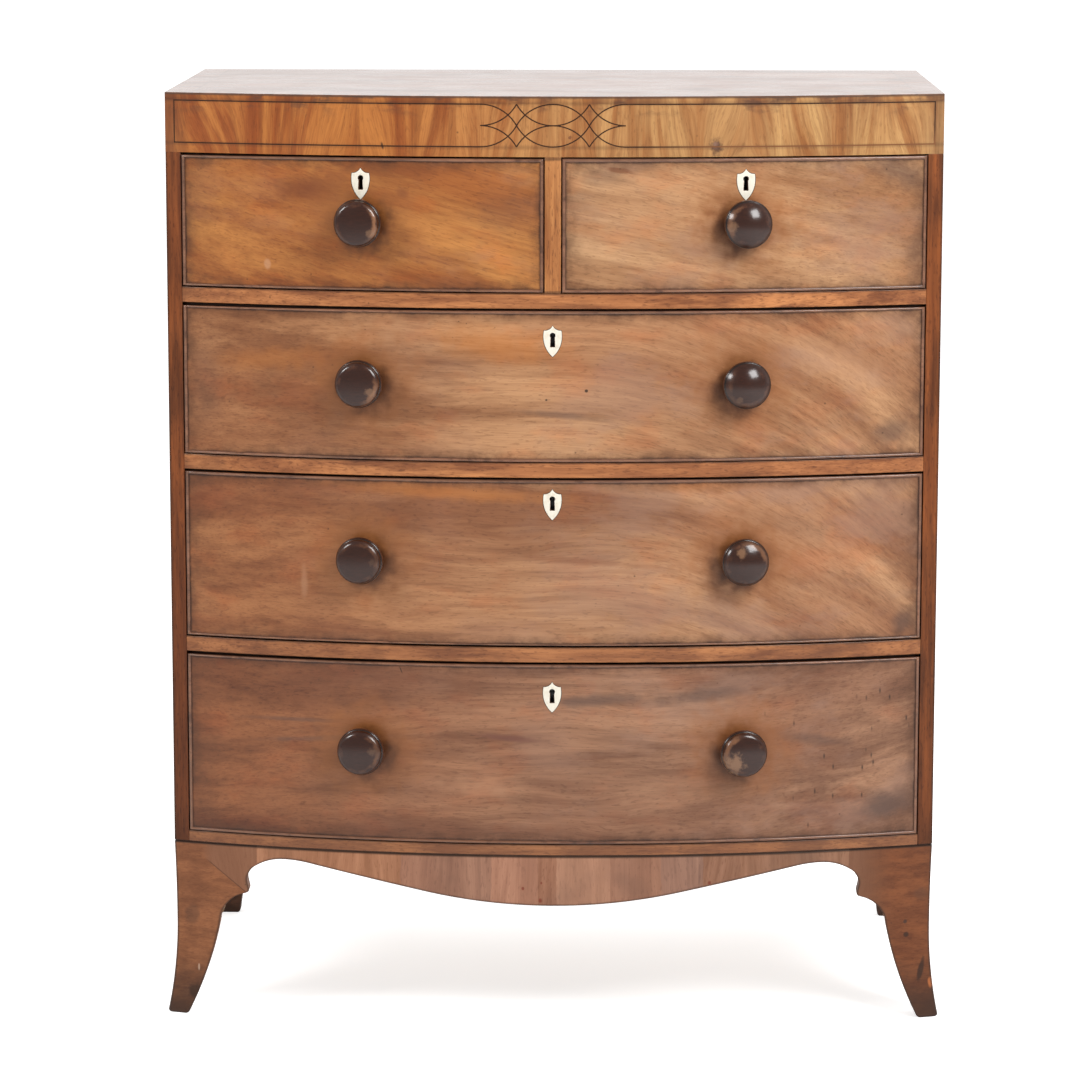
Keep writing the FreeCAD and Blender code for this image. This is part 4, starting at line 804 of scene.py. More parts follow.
def foot(name, side, front):
    """Two legs that meet at a corner. At each height the foot is an L whose arms end at the legs' outlines:
    an eased loop in (x, depth behind the face), carried up from the floor to the case."""
    outline = leg_outline()
    sole_rings = np.array([0.0, 0.3, 0.8, 1.5, 2.5, 3.5])
    ankle = np.column_stack([np.interp(sole_rings, outline[:, 1], outline[:, 0]), sole_rings])
    outline = np.vstack([ankle, outline[outline[:, 1] > 4.0]])
    heights = outline[:, 1]
    arm = outline[:, 0] if front else np.interp(heights, *back_outline().T[::-1])
    top = [QUIRK_LOW - 0.6, QUIRK_LOW, QUIRK_LOW, QUIRK_LOW + 2.0]
    groove = np.concatenate([np.zeros(len(heights) + 2), [QUIRK_INSET] * 2])
    heights = np.concatenate([heights, top])
    arm, flank = (np.concatenate([values, [WING] * 4]) for values in (arm, outline[:, 0]))
    sole = 2.4 * np.clip(1 - heights / 3.5, 0, 1) ** 2
    out = CASE_EDGE + splay(heights, SIDE_WAIST) - groove - sole
    face = groove + sole - splay(heights, 0.0) if front else groove + sole
    inner = np.maximum(CASE_EDGE - THICKNESS, CASE_EDGE - arm)
    corner = bow_y(CASE_EDGE / 1000) * 1000 if front else BACK_Y

    def depth(x, y):
        return BOW_RADIUS * 1000 - np.hypot(x, AXIS_Y * 1000 - y) if front else BACK_Y - y

    end_y = corner + flank if front else corner - flank
    back = np.minimum(THICKNESS, depth(inner, end_y))
    loop = np.stack([np.stack(pair, axis=-1) for pair in (
        (CASE_EDGE - arm + sole, face), (out, face), (out, depth(out, end_y)), (inner, depth(inner, end_y)),
        (inner, back), (CASE_EDGE - arm + sole, back))], axis=1)
    joint = np.where(heights > WING_LOW - 1.0, 0.1, 1.2)
    worn = 1.4 + 2.2 * np.clip(1 - heights / 60, 0, 1)
    radii = np.stack([joint, worn, joint, joint * 0.5, joint * 0.5, joint * 0.5], axis=1)
    steps = (20, 20, 4, 20, 20, 4)
    loops = eased_loops(loop, radii, steps)
    parts = np.linalg.norm(np.roll(loops, -1, axis=1) - loops, axis=2)
    run = np.cumsum(parts, axis=1) - parts
    arris = np.full_like(run, FAR)
    for corner_number in range(3):
        column = sum(steps[:corner_number]) + 4 * corner_number + 2
        gap = np.abs(run - run[:, column:column + 1])
        hidden = FAR * (heights > WING_LOW - 1.0) * (corner_number != 1)
        arris = np.minimum(arris, np.minimum(gap, parts.sum(axis=1, keepdims=True) - gap) + hidden[:, None])
    arris = np.concatenate([arris[:1], arris, arris[-1:]]) * MILLIMETRE
    loops = capped(loops, 3)
    heights = np.concatenate([heights[:1], heights, heights[-1:]])[:, None]
    x, behind = loops[..., 0], loops[..., 1]
    y = bow_y(x / 1000, behind / 1000) * 1000 if front else BACK_Y - behind
    places = np.stack([side * x, y, np.broadcast_to(heights, x.shape)], axis=-1)
    return woven(name, places * MILLIMETRE, False, True, 38.0, arris=arris)


def shaped_board(name, along, low, place):
    """An apron: at each point along it, an eased loop in (depth behind its face, height) from its lower
    outline up to the groove under the case; place turns (along, depth, height) into a point."""
    front, back = np.zeros_like(low), np.full_like(low, THICKNESS)
    step = front + QUIRK_INSET
    top, ledge = front + QUIRK_LOW + 2.0, front + QUIRK_LOW
    loop = np.stack([np.stack(pair, axis=-1) for pair in (
        (front, low), (front, ledge), (step, ledge), (step, top), (back, top), (back, low))], axis=1)
    loops = eased_loops(loop, np.array([1.0, 0.5, 0.1, 0.1, 0.3, 0.6]), (6, 2, 2, 4, 6, 4))
    middle = np.broadcast_to(loops.mean(axis=1, keepdims=True), loops.shape)
    loops = np.concatenate([middle[:1], loops, middle[-1:]])
    along = np.concatenate([along[:1], along, along[-1:]])[:, None] + np.zeros(loops.shape[:2])
    rise = (loops[..., 1] - np.concatenate([low[:1], low, low[-1:]])[:, None]) * MILLIMETRE
    return woven(name, place(along, loops[..., 0], loops[..., 1]) * MILLIMETRE, False, True, 38.0, rise=rise)


def front_apron():
    """Its lower outline from the middle out: a round drop, a straight rise, a crest and an arch into the
    foot."""
    slope = math.radians(APRON_SLOPE)
    crest_x = CASE_EDGE - CREST_OUT
    angles = np.linspace(slope, 0, 14)
    crest = np.column_stack([crest_x - CREST_RADIUS * np.sin(angles),
                             CREST_LOW - CREST_RADIUS * (1 - np.cos(angles))])
    drop_z = crest[0, 1] - (crest[0, 0] - DROP_HALF) * math.tan(slope)
    bottom_z = drop_z - DROP_HALF * math.tan(slope / 2)
    drop = arc_through((-DROP_HALF, drop_z), (0, bottom_z), (DROP_HALF, drop_z), 61)[30:]
    rise = np.linspace((DROP_HALF, drop_z), crest[0], 20)[1:-1]
    arch = bulged((CASE_EDGE - WING, WING_LOW), (crest_x, CREST_LOW), -2.5, 10)[::-1]
    right = np.vstack([drop, rise, crest, arch[1:]])
    outline = np.vstack([right[:0:-1] * (-1, 1), right])

    def place(x, depth, z):
        return np.stack([x, bow_y(x / 1000, depth / 1000) * 1000, z], axis=-1)

    return shaped_board("front_apron_board", outline[:, 0], outline[:, 1], place)


def side_apron(side):
    """Straight below, with a short arch at each end."""
    start, end = CORNER_Y + WING, BACK_Y - WING
    run = CREST_OUT - WING
    arch = bulged((start, WING_LOW), (start + run, CREST_LOW), 2.5, 10)
    outline = np.vstack([arch, (arch * (-1, 1) + (start + end, 0))[::-1]])

    def place(y, depth, z):
        return np.stack([side * (CASE_EDGE - depth), y, z], axis=-1)

    return shaped_board("side_apron_board", outline[:, 0], outline[:, 1], place)


APRON_TONES = ((0.196, 0.09, 0.049), (0.412, 0.212, 0.129), (0.294, 0.138, 0.081))
LEG_TONES = ((0.189, 0.065, 0.023), (0.281, 0.104, 0.039), (0.238, 0.083, 0.029))
APRON_STRIPS = [  # right end of each facing strip, and its tone
    (-0.180, (0.30, 0.130, 0.062)), (-0.072, (0.25, 0.120, 0.080)), (-0.018, (0.40, 0.180, 0.110)),
    (0.004, (0.27, 0.105, 0.054)), (0.067, (0.43, 0.215, 0.130)), (0.126, (0.30, 0.135, 0.080)),
    (0.177, (0.27, 0.140, 0.100)), (0.220, (0.29, 0.120, 0.062)), (0.350, (0.34, 0.140, 0.068))]
RED_SPOTS = [(-0.0339, 0.1698, 0.0022), (-0.0123, 0.1767, 0.0018), (-0.0135, 0.1555, 0.0030),
             (0.1849, 0.1749, 0.0030)]
RED_BROWN = (0.17, 0.022, 0.008)
JOINT_SLOPE, JOINT_DROP = 0.777, 0.1302  # the joint of leg and wing: height = slope times distance out - drop
LEG_MARKS = [  # x, z, half width, half height, tone, strength, turn
    (0.4187, 0.1173, 0.0028, 0.0028, (0.045, 0.022, 0.015), 0.85, 0),
    (0.4200, 0.1012, 0.0045, 0.0045, GRIME_AND_SHADE, 0.8, 0),
    (0.4381, 0.0574, 0.0040, 0.0200, GRIME_AND_SHADE, 0.8, -12),
    (0.4511, 0.0416, 0.0050, 0.0080, (0.46, 0.14, 0.040), 0.8, 0),
    (-0.3993, 0.0810, 0.0050, 0.0040, GRIME_AND_SHADE, 0.9, 0),
    (-0.4217, 0.0570, 0.0016, 0.0050, (0.50, 0.34, 0.24), 0.6, 0),
    (-0.4260, 0.0270, 0.0100, 0.0120, GRIME_AND_SHADE, 0.7, 20),
    (0.4380, 0.1500, 0.0120, 0.0100, (0.090, 0.035, 0.016), 0.5, 10),
    (-0.4300, 0.1200, 0.0100, 0.0160, (0.090, 0.035, 0.016), 0.5, -15)]


def strip_tone(bench, x):
    """The colour of the facing strip at x: steps in a ramp from one end of the apron to the other."""
    half = APRON_STRIPS[-1][0]
    ramp = bench.node("ValToRGB", {"Fac": bench.linear(x, -half, half)})
    ramp.color_ramp.interpolation = "CONSTANT"
    stops = ramp.color_ramp.elements
    starts = [-half] + [right for right, _ in APRON_STRIPS[:-1]]
    stops.remove(stops[1])
    for number, (start, (_, tone)) in enumerate(zip(starts, APRON_STRIPS)):
        stop = stops[0] if number == 0 else stops.new((start + half) / (2 * half))
        stop.position = (start + half) / (2 * half)
        stop.color = (*tone, 1.0)
    return ramp.outputs[0]


def lay_apron(bench, spot, edge):
    """The upright-grained strips of the apron, with red stain spots and smoky patches."""
    colour, relief = lay_wood(bench, spot, APRON_TONES, "zxy", wander=0.003, bands=55.0, seed=17.0,
                              fan=(1.5, 0.19), lines=0.4)
    x = bench.split(spot)[0]
    ragged = bench.plus(x, bench.times(edge, 0.006))
    colour = bench.blend(0.5, colour, strip_tone(bench, ragged))
    for spot_x, spot_z, size in RED_SPOTS:
        colour = mark(bench, colour, spot, edge, spot_x, spot_z, size, size * 1.3, RED_BROWN, 0.85)
    smoky = bench.ease(bench.noise(spot, scale=10.0, detail=4.0), 0.5, 0.68, 0.0, 0.45)
    colour = bench.blend(smoky, colour, (0.14, 0.070, 0.046))
    paler = bench.tinted(colour, (1.16, 1.10, 1.03))
    darker = bench.tinted(colour, (0.78, 0.83, 0.86))
    colour = bench.blend(bench.ease(x, -0.06, -0.24), colour, paler)
    return bench.blend(bench.ease(x, 0.08, 0.30), colour, darker), relief


def shade_groove(bench, colour, z):
    """Painted shade in the shadow groove under the case."""
    return bench.blend(bench.ease(z, BASE_TOP - 0.0045, BASE_TOP - 0.0018, 0.0, 0.9), colour, GRIME_AND_SHADE)


def apron_finish():
    material, bench, shader = new_finish("apron_facing")
    spot = object_place(bench)
    edge = edge_noise(bench, spot)
    colour, relief = lay_apron(bench, spot, edge)
    colour = shade_groove(bench, colour, bench.split(spot)[2])
    rise = bench.layer("rise")
    ragged = bench.plus(rise, bench.times(edge, 0.0020))
    colour = bench.blend(bench.ease(ragged, 0.0030, 0.0006, 0.0, 0.75), colour, (0.050, 0.022, 0.012))
    inset = inset_of(bench, spot)
    colour = bench.blend(bench.ease(inset, 0.0012, 0.0030), colour, (0.20, 0.105, 0.052))
    coat(bench, shader, spot, colour, relief, dullness=0.46, coating=0.05, gleam=0.3)
    return material


def leg_finish():
    """Level grain, darkening towards the floor at the toe. Near the apron the grain turns upright, along a
    diagonal joint on the left foot and without a line on the right one."""
    material, bench, shader = new_finish("leg_facing")
    spot = object_place(bench)
    edge = edge_noise(bench, spot)
    leg, relief = lay_wood(bench, spot, LEG_TONES, "xzy", wander=0.003, bands=70.0, seed=18.0, lines=0.32,
                           pores=0.25, cloud=0.4)
    wing, _ = lay_apron(bench, spot, edge)
    x, _, z = bench.split(spot)
    out = bench.math("ABSOLUTE", x)
    on_left = bench.math("LESS_THAN", x, 0.0)
    joint = bench.minus(bench.plus(z, JOINT_DROP), bench.times(out, JOINT_SLOPE))
    near = bench.ease(out, 0.414, 0.404)
    crisp = bench.times(bench.ease(joint, -0.0010, 0.0010), bench.ease(out, 0.420, 0.402))
    soft_way = bench.plus(out, bench.times(edge, 0.02))
    gradual = bench.ease(soft_way, 0.412, 0.362)
    on_wing = bench.node("Mix", {0: on_left, 2: gradual, 3: crisp}).outputs[0]
    dull_wing = bench.blend(0.65, wing, (0.155, 0.060, 0.028))
    colour = bench.blend(on_wing, leg, dull_wing)
    seam = bench.times(bench.ease(bench.math("ABSOLUTE", joint), 0.0012, 0.0002), on_left, near)
    colour = bench.blend(bench.times(seam, 0.55), colour, GRIME_AND_SHADE)
    # painted shade: darker and redder on the right foot, which tones down the strong light from the right
    shaded_right = bench.tinted(colour, (0.74, 0.62, 0.48))
    colour = bench.blend(bench.ease(x, 0.340, 0.400), colour, shaded_right)
    # darker towards the floor
    toe = bench.ease(bench.plus(z, bench.times(edge, 0.05)), 0.085, 0.0, 0.0, 0.85)
    colour = bench.blend(toe, colour, (0.032, 0.015, 0.009))
    flat = flattened(bench, spot)
    for values in LEG_MARKS:
        colour = mark(bench, colour, flat, edge, *values, 0.5)
    specks = scatter(bench, spot, 85.0, 0.13, 0.22)
    colour = bench.blend(bench.times(specks, 0.6), colour, GRIME_AND_SHADE)
    arris = bench.layer("arris")
    ragged = bench.plus(arris, bench.times(edge, 0.0020))
    colour = bench.blend(bench.ease(ragged, 0.0032, 0.0006, 0.0, 0.7), colour, (0.040, 0.017, 0.009))
    colour = shade_groove(bench, colour, z)
    coat(bench, shader, spot, colour, relief, dullness=0.48, coating=0.05, strength=0.7, gleam=0.3)
    return material


leg_wood = leg_finish()
side_base = rail_finish("side_base_wood", LEG_TONES, "yzx", 20.0)
place_piece("front_apron_board", front_apron(), "carcass", "base_mahogany", apron_finish(), "front_apron")
for side, title in ((-1, "left"), (1, "right")):
    place_piece("side_apron_" + title, side_apron(side), "carcass", "base_mahogany", side_base, "side_aprons")
    place_piece("front_foot_" + title, foot("front_foot", side, True), "carcass", "base_mahogany", leg_wood,
                "front_feet")
    place_piece("rear_foot_" + title, foot("rear_foot", side, False), "carcass", "base_mahogany", leg_wood,
                "rear_feet")
dress("glue_blocks", deal_finish("block_deal", "xzy", 21.0, DEAL_TONES, dust=0.6))

# Drawer fronts
# Each front is a bowed core faced with one broad leaf of mahogany, level-grained on the long drawers and
# leaning on the short ones. Grime has gathered along the beads and round the knobs, where painted shade and
# painted knob shadows lie too, and there are old dents and stains. A lilac haze towards the right is partly
# painted sheen.

BEAD_WIDTH = 4 * MILLIMETRE
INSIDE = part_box("side_right")[0].x
KNOB_X = (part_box("muntin")[1].x + INSIDE) / 2
KNOB_RADIUS = 28 * MILLIMETRE
SMOKE = (0.085, 0.048, 0.036)
# painted shade: the black of the creases at the beads' feet, of the keyholes and of brass hidden in the
# fronts
SHADE_BLACK = (0.012, 0.006, 0.004)
BROWN = (0.078, 0.027, 0.010)
ORANGE = (0.46, 0.155, 0.030)
DARK_RED = (0.155, 0.040, 0.012)
PALE = (0.50, 0.27, 0.15)
LILAC = (0.29, 0.165, 0.115)
CORE = (0.30, 0.18, 0.09)

# Halos round each knob: first a warm reddish ring, then two darker ones, set low and towards the middle, that
# are painted shadows of the knob mixed with grime.
KNOB_HALOS_AND_SHADOWS = [  # shift to the middle, rise, halves in knob radii, tone, strength, softness
    (0.0, 0.003, 3.2, 2.8, (0.290, 0.100, 0.026), 0.85, 0.95),
    (0.006, -0.007, 1.9, 1.8, (0.090, 0.027, 0.008), 0.80, 0.95),
    (0.006, -0.007, 1.35, 1.3, (0.040, 0.012, 0.004), 0.85, 0.7)]

# what sets each drawer's leaf apart: tones, the course of its grain, and its marks as
# (x, z, half width, half height, tone, strength, turn, softness)
FRONTS = {
    "short_left": dict(
        tones=((0.266, 0.082, 0.018), (0.499, 0.213, 0.056), (0.382, 0.126, 0.029)), seed=31.0,
        deep=0.25, slope=0.24, bands=22.0, wander=0.005, reach=0.013, grime=0.62,
        marks=[(-0.1725, 0.985, 0.010, 0.008, DARK_RED, 0.75, -20, 0.9),
               (-0.280, 0.9890, 0.065, 0.028, DARK_RED, 0.80, 10, 0.95),
               (-0.200, 1.010, 0.150, 0.012, DARK_RED, 0.35, 0, 0.9),
               (-0.330, 0.900, 0.005, 0.008, PALE, 0.5, 0, 0.6),
               (-0.060, 0.960, 0.060, 0.045, SMOKE, 0.25, 25, 0.9)]),
    "short_right": dict(
        tones=((0.297, 0.135, 0.056), (0.508, 0.286, 0.142), (0.403, 0.201, 0.094)), seed=34.0,
        deep=0.0, slope=0.20, bands=22.0, wander=0.006, reach=0.014, grime=0.55,
        marks=[(0.398, 1.008, 0.060, 0.022, SMOKE, 0.6, -25, 0.9),
               (0.060, 1.005, 0.045, 0.018, SMOKE, 0.35, 0, 0.9),
               (0.205, 0.950, 0.060, 0.040, DARK_RED, 0.35, 0, 0.95),
               (0.075, 1.012, 0.020, 0.004, DARK_RED, 0.6, -8, 0.6),
               (0.418, 0.905, 0.018, 0.035, SMOKE, 0.35, 0, 0.9)]),
    "long_upper": dict(
        tones=((0.255, 0.11, 0.046), (0.488, 0.262, 0.128), (0.362, 0.163, 0.073)), seed=38.0,
        deep=0.42, slope=0.03, sweep=(0.02, 1.0), bands=20.0, wander=0.009, reach=0.013, grime=0.6,
        marks=[(-0.060, 0.812, 0.110, 0.030, ORANGE, 0.55, -6, 0.9),
               (-0.330, 0.790, 0.090, 0.020, ORANGE, 0.35, 4, 0.9),
               (0.395, 0.705, 0.040, 0.024, SMOKE, 0.6, 20, 0.9),
               (0.0388, 0.7586, 0.0026, 0.0024, GRIME_AND_SHADE, 0.9, 0, 0.4),
               (-0.0072, 0.7480, 0.0018, 0.0016, GRIME_AND_SHADE, 0.8, 0, 0.4),
               (-0.405, 0.760, 0.030, 0.080, SMOKE, 0.25, 0, 0.9),
               (0.330, 0.790, 0.100, 0.030, PALE, 0.35, -20, 0.9),
               (0.010, 0.730, 0.080, 0.006, SMOKE, 0.4, -6, 0.8)]),
    "long_middle": dict(
        tones=((0.237, 0.097, 0.041), (0.464, 0.245, 0.122), (0.354, 0.157, 0.073)), seed=43.0,
        deep=0.66, slope=0.02, sweep=(0.05, 1.1), bands=18.0, wander=0.010, reach=0.013, grime=0.6,
        marks=[(-0.120, 0.640, 0.190, 0.014, ORANGE, 0.5, -3, 0.9),
               (0.180, 0.648, 0.130, 0.012, ORANGE, 0.4, 0, 0.9),
               (0.412, 0.480, 0.026, 0.020, SMOKE, 0.7, 25, 0.9),
               (0.030, 0.560, 0.120, 0.006, DARK_RED, 0.35, -4, 0.8),
               (-0.290, 0.530, 0.006, 0.030, PALE, 0.3, 0, 0.8),
               (0.330, 0.520, 0.060, 0.018, DARK_RED, 0.3, -20, 0.9),
               (0.270, 0.600, 0.100, 0.018, SMOKE, 0.25, -15, 0.9)]),
    "long_lower": dict(
        tones=((0.164, 0.07, 0.035), (0.366, 0.186, 0.102), (0.268, 0.118, 0.061)), seed=47.0,
        deep=0.78, slope=0.0, sweep=(0.15, -0.4), bands=20.0, wander=0.011, reach=0.012, grime=0.65,
        marks=[(0.050, 0.395, 0.090, 0.010, SMOKE, 0.6, 3, 0.8),
               (0.175, 0.400, 0.080, 0.012, SMOKE, 0.6, 6, 0.8),
               (0.3951, 0.262, 0.050, 0.026, SMOKE, 0.75, 8, 0.8),
               (0.300, 0.345, 0.070, 0.010, SMOKE, 0.5, -8, 0.9),
               (-0.250, 0.345, 0.120, 0.005, SMOKE, 0.6, 4, 0.8),
               (-0.300, 0.365, 0.080, 0.004, SMOKE, 0.5, 0, 0.8),
               (-0.050, 0.350, 0.050, 0.006, (0.13, 0.045, 0.030), 0.7, -5, 0.8),
               (-0.390, 0.430, 0.010, 0.006, DARK_RED, 0.7, 30, 0.8),
               (-0.1765, 0.4285, 0.0011, 0.006, GRIME_AND_SHADE, 0.8, 22, 0.6),
               (-0.080, 0.290, 0.070, 0.020, PALE, 0.25, -5, 0.9),
               (0.150, 0.290, 0.120, 0.020, PALE, 0.2, 0, 0.9)]),
}
DENTED = "long_lower"


def make_border_group():
    """1 at the border of a panel from Left to Right and Low to High, fading to 0 at Reach inside it."""
    bench, entry, leave = new_group(
        "border", {"Place": "Vector", "Left": "Float", "Right": "Float", "Low": "Float", "High": "Float",
                   "Reach": "Float", "Edge": "Float"}, {"Mask": "Float"})
    x, _, z = bench.split(entry["Place"])
    sides = bench.math("MINIMUM", bench.minus(x, entry["Left"]), bench.minus(entry["Right"], x))
    ends = bench.math("MINIMUM", bench.minus(z, entry["Low"]), bench.minus(entry["High"], z))
    way = bench.math("DIVIDE", bench.math("MINIMUM", sides, ends), entry["Reach"])
    bench.feed(leave["Mask"], bench.ease(bench.plus(way, entry["Edge"]), 1.0, 0.0))


make_border_group()


def front_finish(name, outline, knobs, knob_z, key, tones, seed, bands, wander, reach, grime, marks, deep,
                 **course):
    """One leaf of veneer: grain, old stains, grime at the beads and round the knobs, specks and fine
    scratches, with painted shade in the crease along the beads, painted shadows of the knobs, a black keyhole
    of painted shade and a lilac haze towards the right that is partly painted sheen. deep is how much darker
    and redder it is towards the left, partly painted shade of the less lit side."""
    material, bench, shader = new_finish(name + "_leaf")
    spot = object_place(bench)
    edge = edge_noise(bench, spot)
    x, _, z = bench.split(spot)
    colour, relief = lay_wood(bench, spot, tones, "xzy", wander=wander, bands=bands, seed=seed, lines=0.34,
                              pores=0.30, **course)
    level = bench.scaled(spot, (7.0, 7.0, 13.0))
    glow = bench.ease(bench.noise(level, scale=1.7, detail=4.0, roughness=0.6), 0.48, 0.68, 0.0, 0.42)
    colour = bench.blend(glow, colour, bench.tinted(colour, (1.10, 0.76, 0.56)))
    # a lilac haze, stronger towards the right: partly the bloom of old polish, partly painted sheen of the
    # light from the right
    bloom_and_sheen = bench.ease(bench.noise(level, detail=5.0, roughness=0.62), 0.46, 0.64, 0.0, 0.45)
    bloom_and_sheen = bench.times(bloom_and_sheen, bench.ease(x, -0.25, 0.25, 0.35, 1.0))
    colour = bench.blend(bloom_and_sheen, colour, LILAC)
    # darker and redder towards the left: partly the leaf's own tone, partly painted shade of the side that
    # gets less light
    deepened = bench.tinted(colour, (0.64, 0.36, 0.13))
    colour = bench.blend(bench.ease(x, 0.12, -0.40, 0.0, deep), colour, deepened)
    flat = flattened(bench, spot)
    for values in marks:
        colour = mark(bench, colour, flat, edge, *values)
    patchy = bench.ease(bench.noise(spot, scale=24.0, detail=8.0, roughness=0.74), 0.36, 0.64, 0.25, 1.0)
    # round each knob a warm ring, then grime and painted shadows of the knob
    for knob_x in knobs:
        for toward_middle, rise, half_width, half_height, tone, strength, soft in KNOB_HALOS_AND_SHADOWS:
            colour = mark(bench, colour, flat, edge, knob_x - math.copysign(toward_middle, knob_x),
                          knob_z + rise, KNOB_RADIUS * half_width, KNOB_RADIUS * half_height, tone, strength,
                          soft=soft)
    # painted shade: a black oval where the keyhole goes into the front
    colour = mark(bench, colour, flat, 0.0, key[0], key[1], 0.0050, 0.0105, SHADE_BLACK, 0.98, soft=0.2)
    left, right, low, high = outline
    border = {"Place": spot, "Left": left, "Right": right, "Low": low, "High": high, "Edge": edge}
    upright = {**border, "Low": low - 1.0, "High": high + 1.0, "Reach": reach * 3.6}
    closer = {**border, "Reach": reach * 1.15, "Edge": bench.times(edge, 1.3)}
    closest = {**border, "Reach": 0.0028, "Edge": bench.times(edge, 1.4)}
    wide, near, line = (bench.group("border", sockets)["Mask"] for sockets in (upright, closer, closest))
    colour = bench.blend(bench.times(wide, patchy, grime * 0.66), colour, BROWN)
    colour = bench.blend(bench.times(near, patchy, min(grime * 1.05, 1.0)), colour, BROWN)
    # painted shade, with grime: a thin black line in the crease along the foot of the beads
    colour = bench.blend(bench.times(line, patchy, 0.7), colour, SHADE_BLACK)
    specks = scatter(bench, flat, 42.0, 0.075, 0.36)
    dashes = scatter(bench, bench.scaled(flat, (1.0, 1.0, 3.5)), 24.0, 0.06, 0.2)
    colour = bench.blend(bench.times(specks, 0.75), colour, GRIME_AND_SHADE)
    colour = bench.blend(bench.times(dashes, 0.5), colour, DARK_RED)
    pricks = scatter(bench, bench.scaled(flat, (0.8, 1.0, 1.0)), 150.0, 0.17, 0.24)
    crowded = bench.plus(bench.times(bench.ease(z, high - 0.045, high - 0.004), 0.5), 0.28)
    colour = bench.blend(bench.times(pricks, crowded), colour, GRIME_AND_SHADE)
    if name == DENTED:
        drawn_out = bench.scaled(flat, (1.0, 1.0, 0.36))
        dents = bench.times(scatter(bench, drawn_out, 105.0, 0.19, 0.75), bench.ease(x, 0.20, 0.32))
        colour = bench.blend(bench.times(dents, 0.9), colour, GRIME_AND_SHADE)
        relief = bench.plus(relief, bench.times(dents, -0.3))
    inset = inset_of(bench, spot)
    colour = bench.blend(bench.ease(inset, 0.0010, 0.0016), colour, BROWN)
    colour = bench.blend(bench.ease(inset, 0.0130, 0.0150), colour, CORE)
    coat(bench, shader, spot, colour, relief, dullness=0.38)
    return material


DRAWERS = {}
for drawer_name in FRONTS:
    low_corner, high_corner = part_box(drawer_name + "_cock_beads")
    knob_low, knob_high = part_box(drawer_name + "_knobs")
    key_low, key_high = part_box(drawer_name + "_escutcheon")
    short = drawer_name.startswith("short")
    side_sign = 1 if drawer_name.endswith("right") else -1
    DRAWERS[drawer_name] = dict(
        left=low_corner.x, right=high_corner.x, low=low_corner.z, high=high_corner.z,
        knobs=[side_sign * KNOB_X] if short else [-KNOB_X, KNOB_X],
        knob_z=(knob_low.z + knob_high.z) / 2,
        key=(side_sign * KNOB_X if short else 0.0, (key_low.z + key_high.z) / 2),
        body=body_of_node[drawer_name + "_front"])
for drawer_name, drawer in DRAWERS.items():
    inner_outline = (drawer["left"] + BEAD_WIDTH, drawer["right"] - BEAD_WIDTH,
                     drawer["low"] + BEAD_WIDTH, drawer["high"] - BEAD_WIDTH)
    dress(drawer_name + "_front",
          front_finish(drawer_name, inner_outline, drawer["knobs"], drawer["knob_z"], drawer["key"],
                       **FRONTS[drawer_name]))

# Cock beads
# A half-round mahogany bead, four millimetres thick, is glued into a rebate round each drawer front and
# mitred at the corners. It stands two millimetres proud, and its edge is rubbed, bruised and chipped.

BEAD_PROUD = 2 * MILLIMETRE
BEAD_DEPTH = 10 * MILLIMETRE
BEAD_GAPS = {  # how much narrower wear has left the top and the bottom bead at left, middle and right, in mm
    "short_left": ((0.8, 0.0, 0.0), (1.1, 0.8, 0.5)), "short_right": ((-0.4, -0.5, -0.3), (0.4, 0.3, 0.4)),
    "long_upper": ((1.6, 0.0, 1.0), (0.7, 0.1, 0.6)), "long_middle": ((0.5, 0.1, 0.1), (1.3, 1.5, 1.1)),
    "long_lower": ((1.2, 0.1, 1.4), (0.3, 0.3, 0.3))}
CHIP = (0.008, 0.075)  # where the lower drawer's bottom bead has lost its edge, from x to x


def soft_noise(t, seed):
    """A smooth random line about 0: three sines whose phases come from the seed."""
    slow, middle = np.sin(t * 9.7 + seed), 0.6 * np.sin(t * 23.1 + 2.3 * seed)
    return (slow + middle + 0.35 * np.sin(t * 61.0 + 5.1 * seed)) / 2


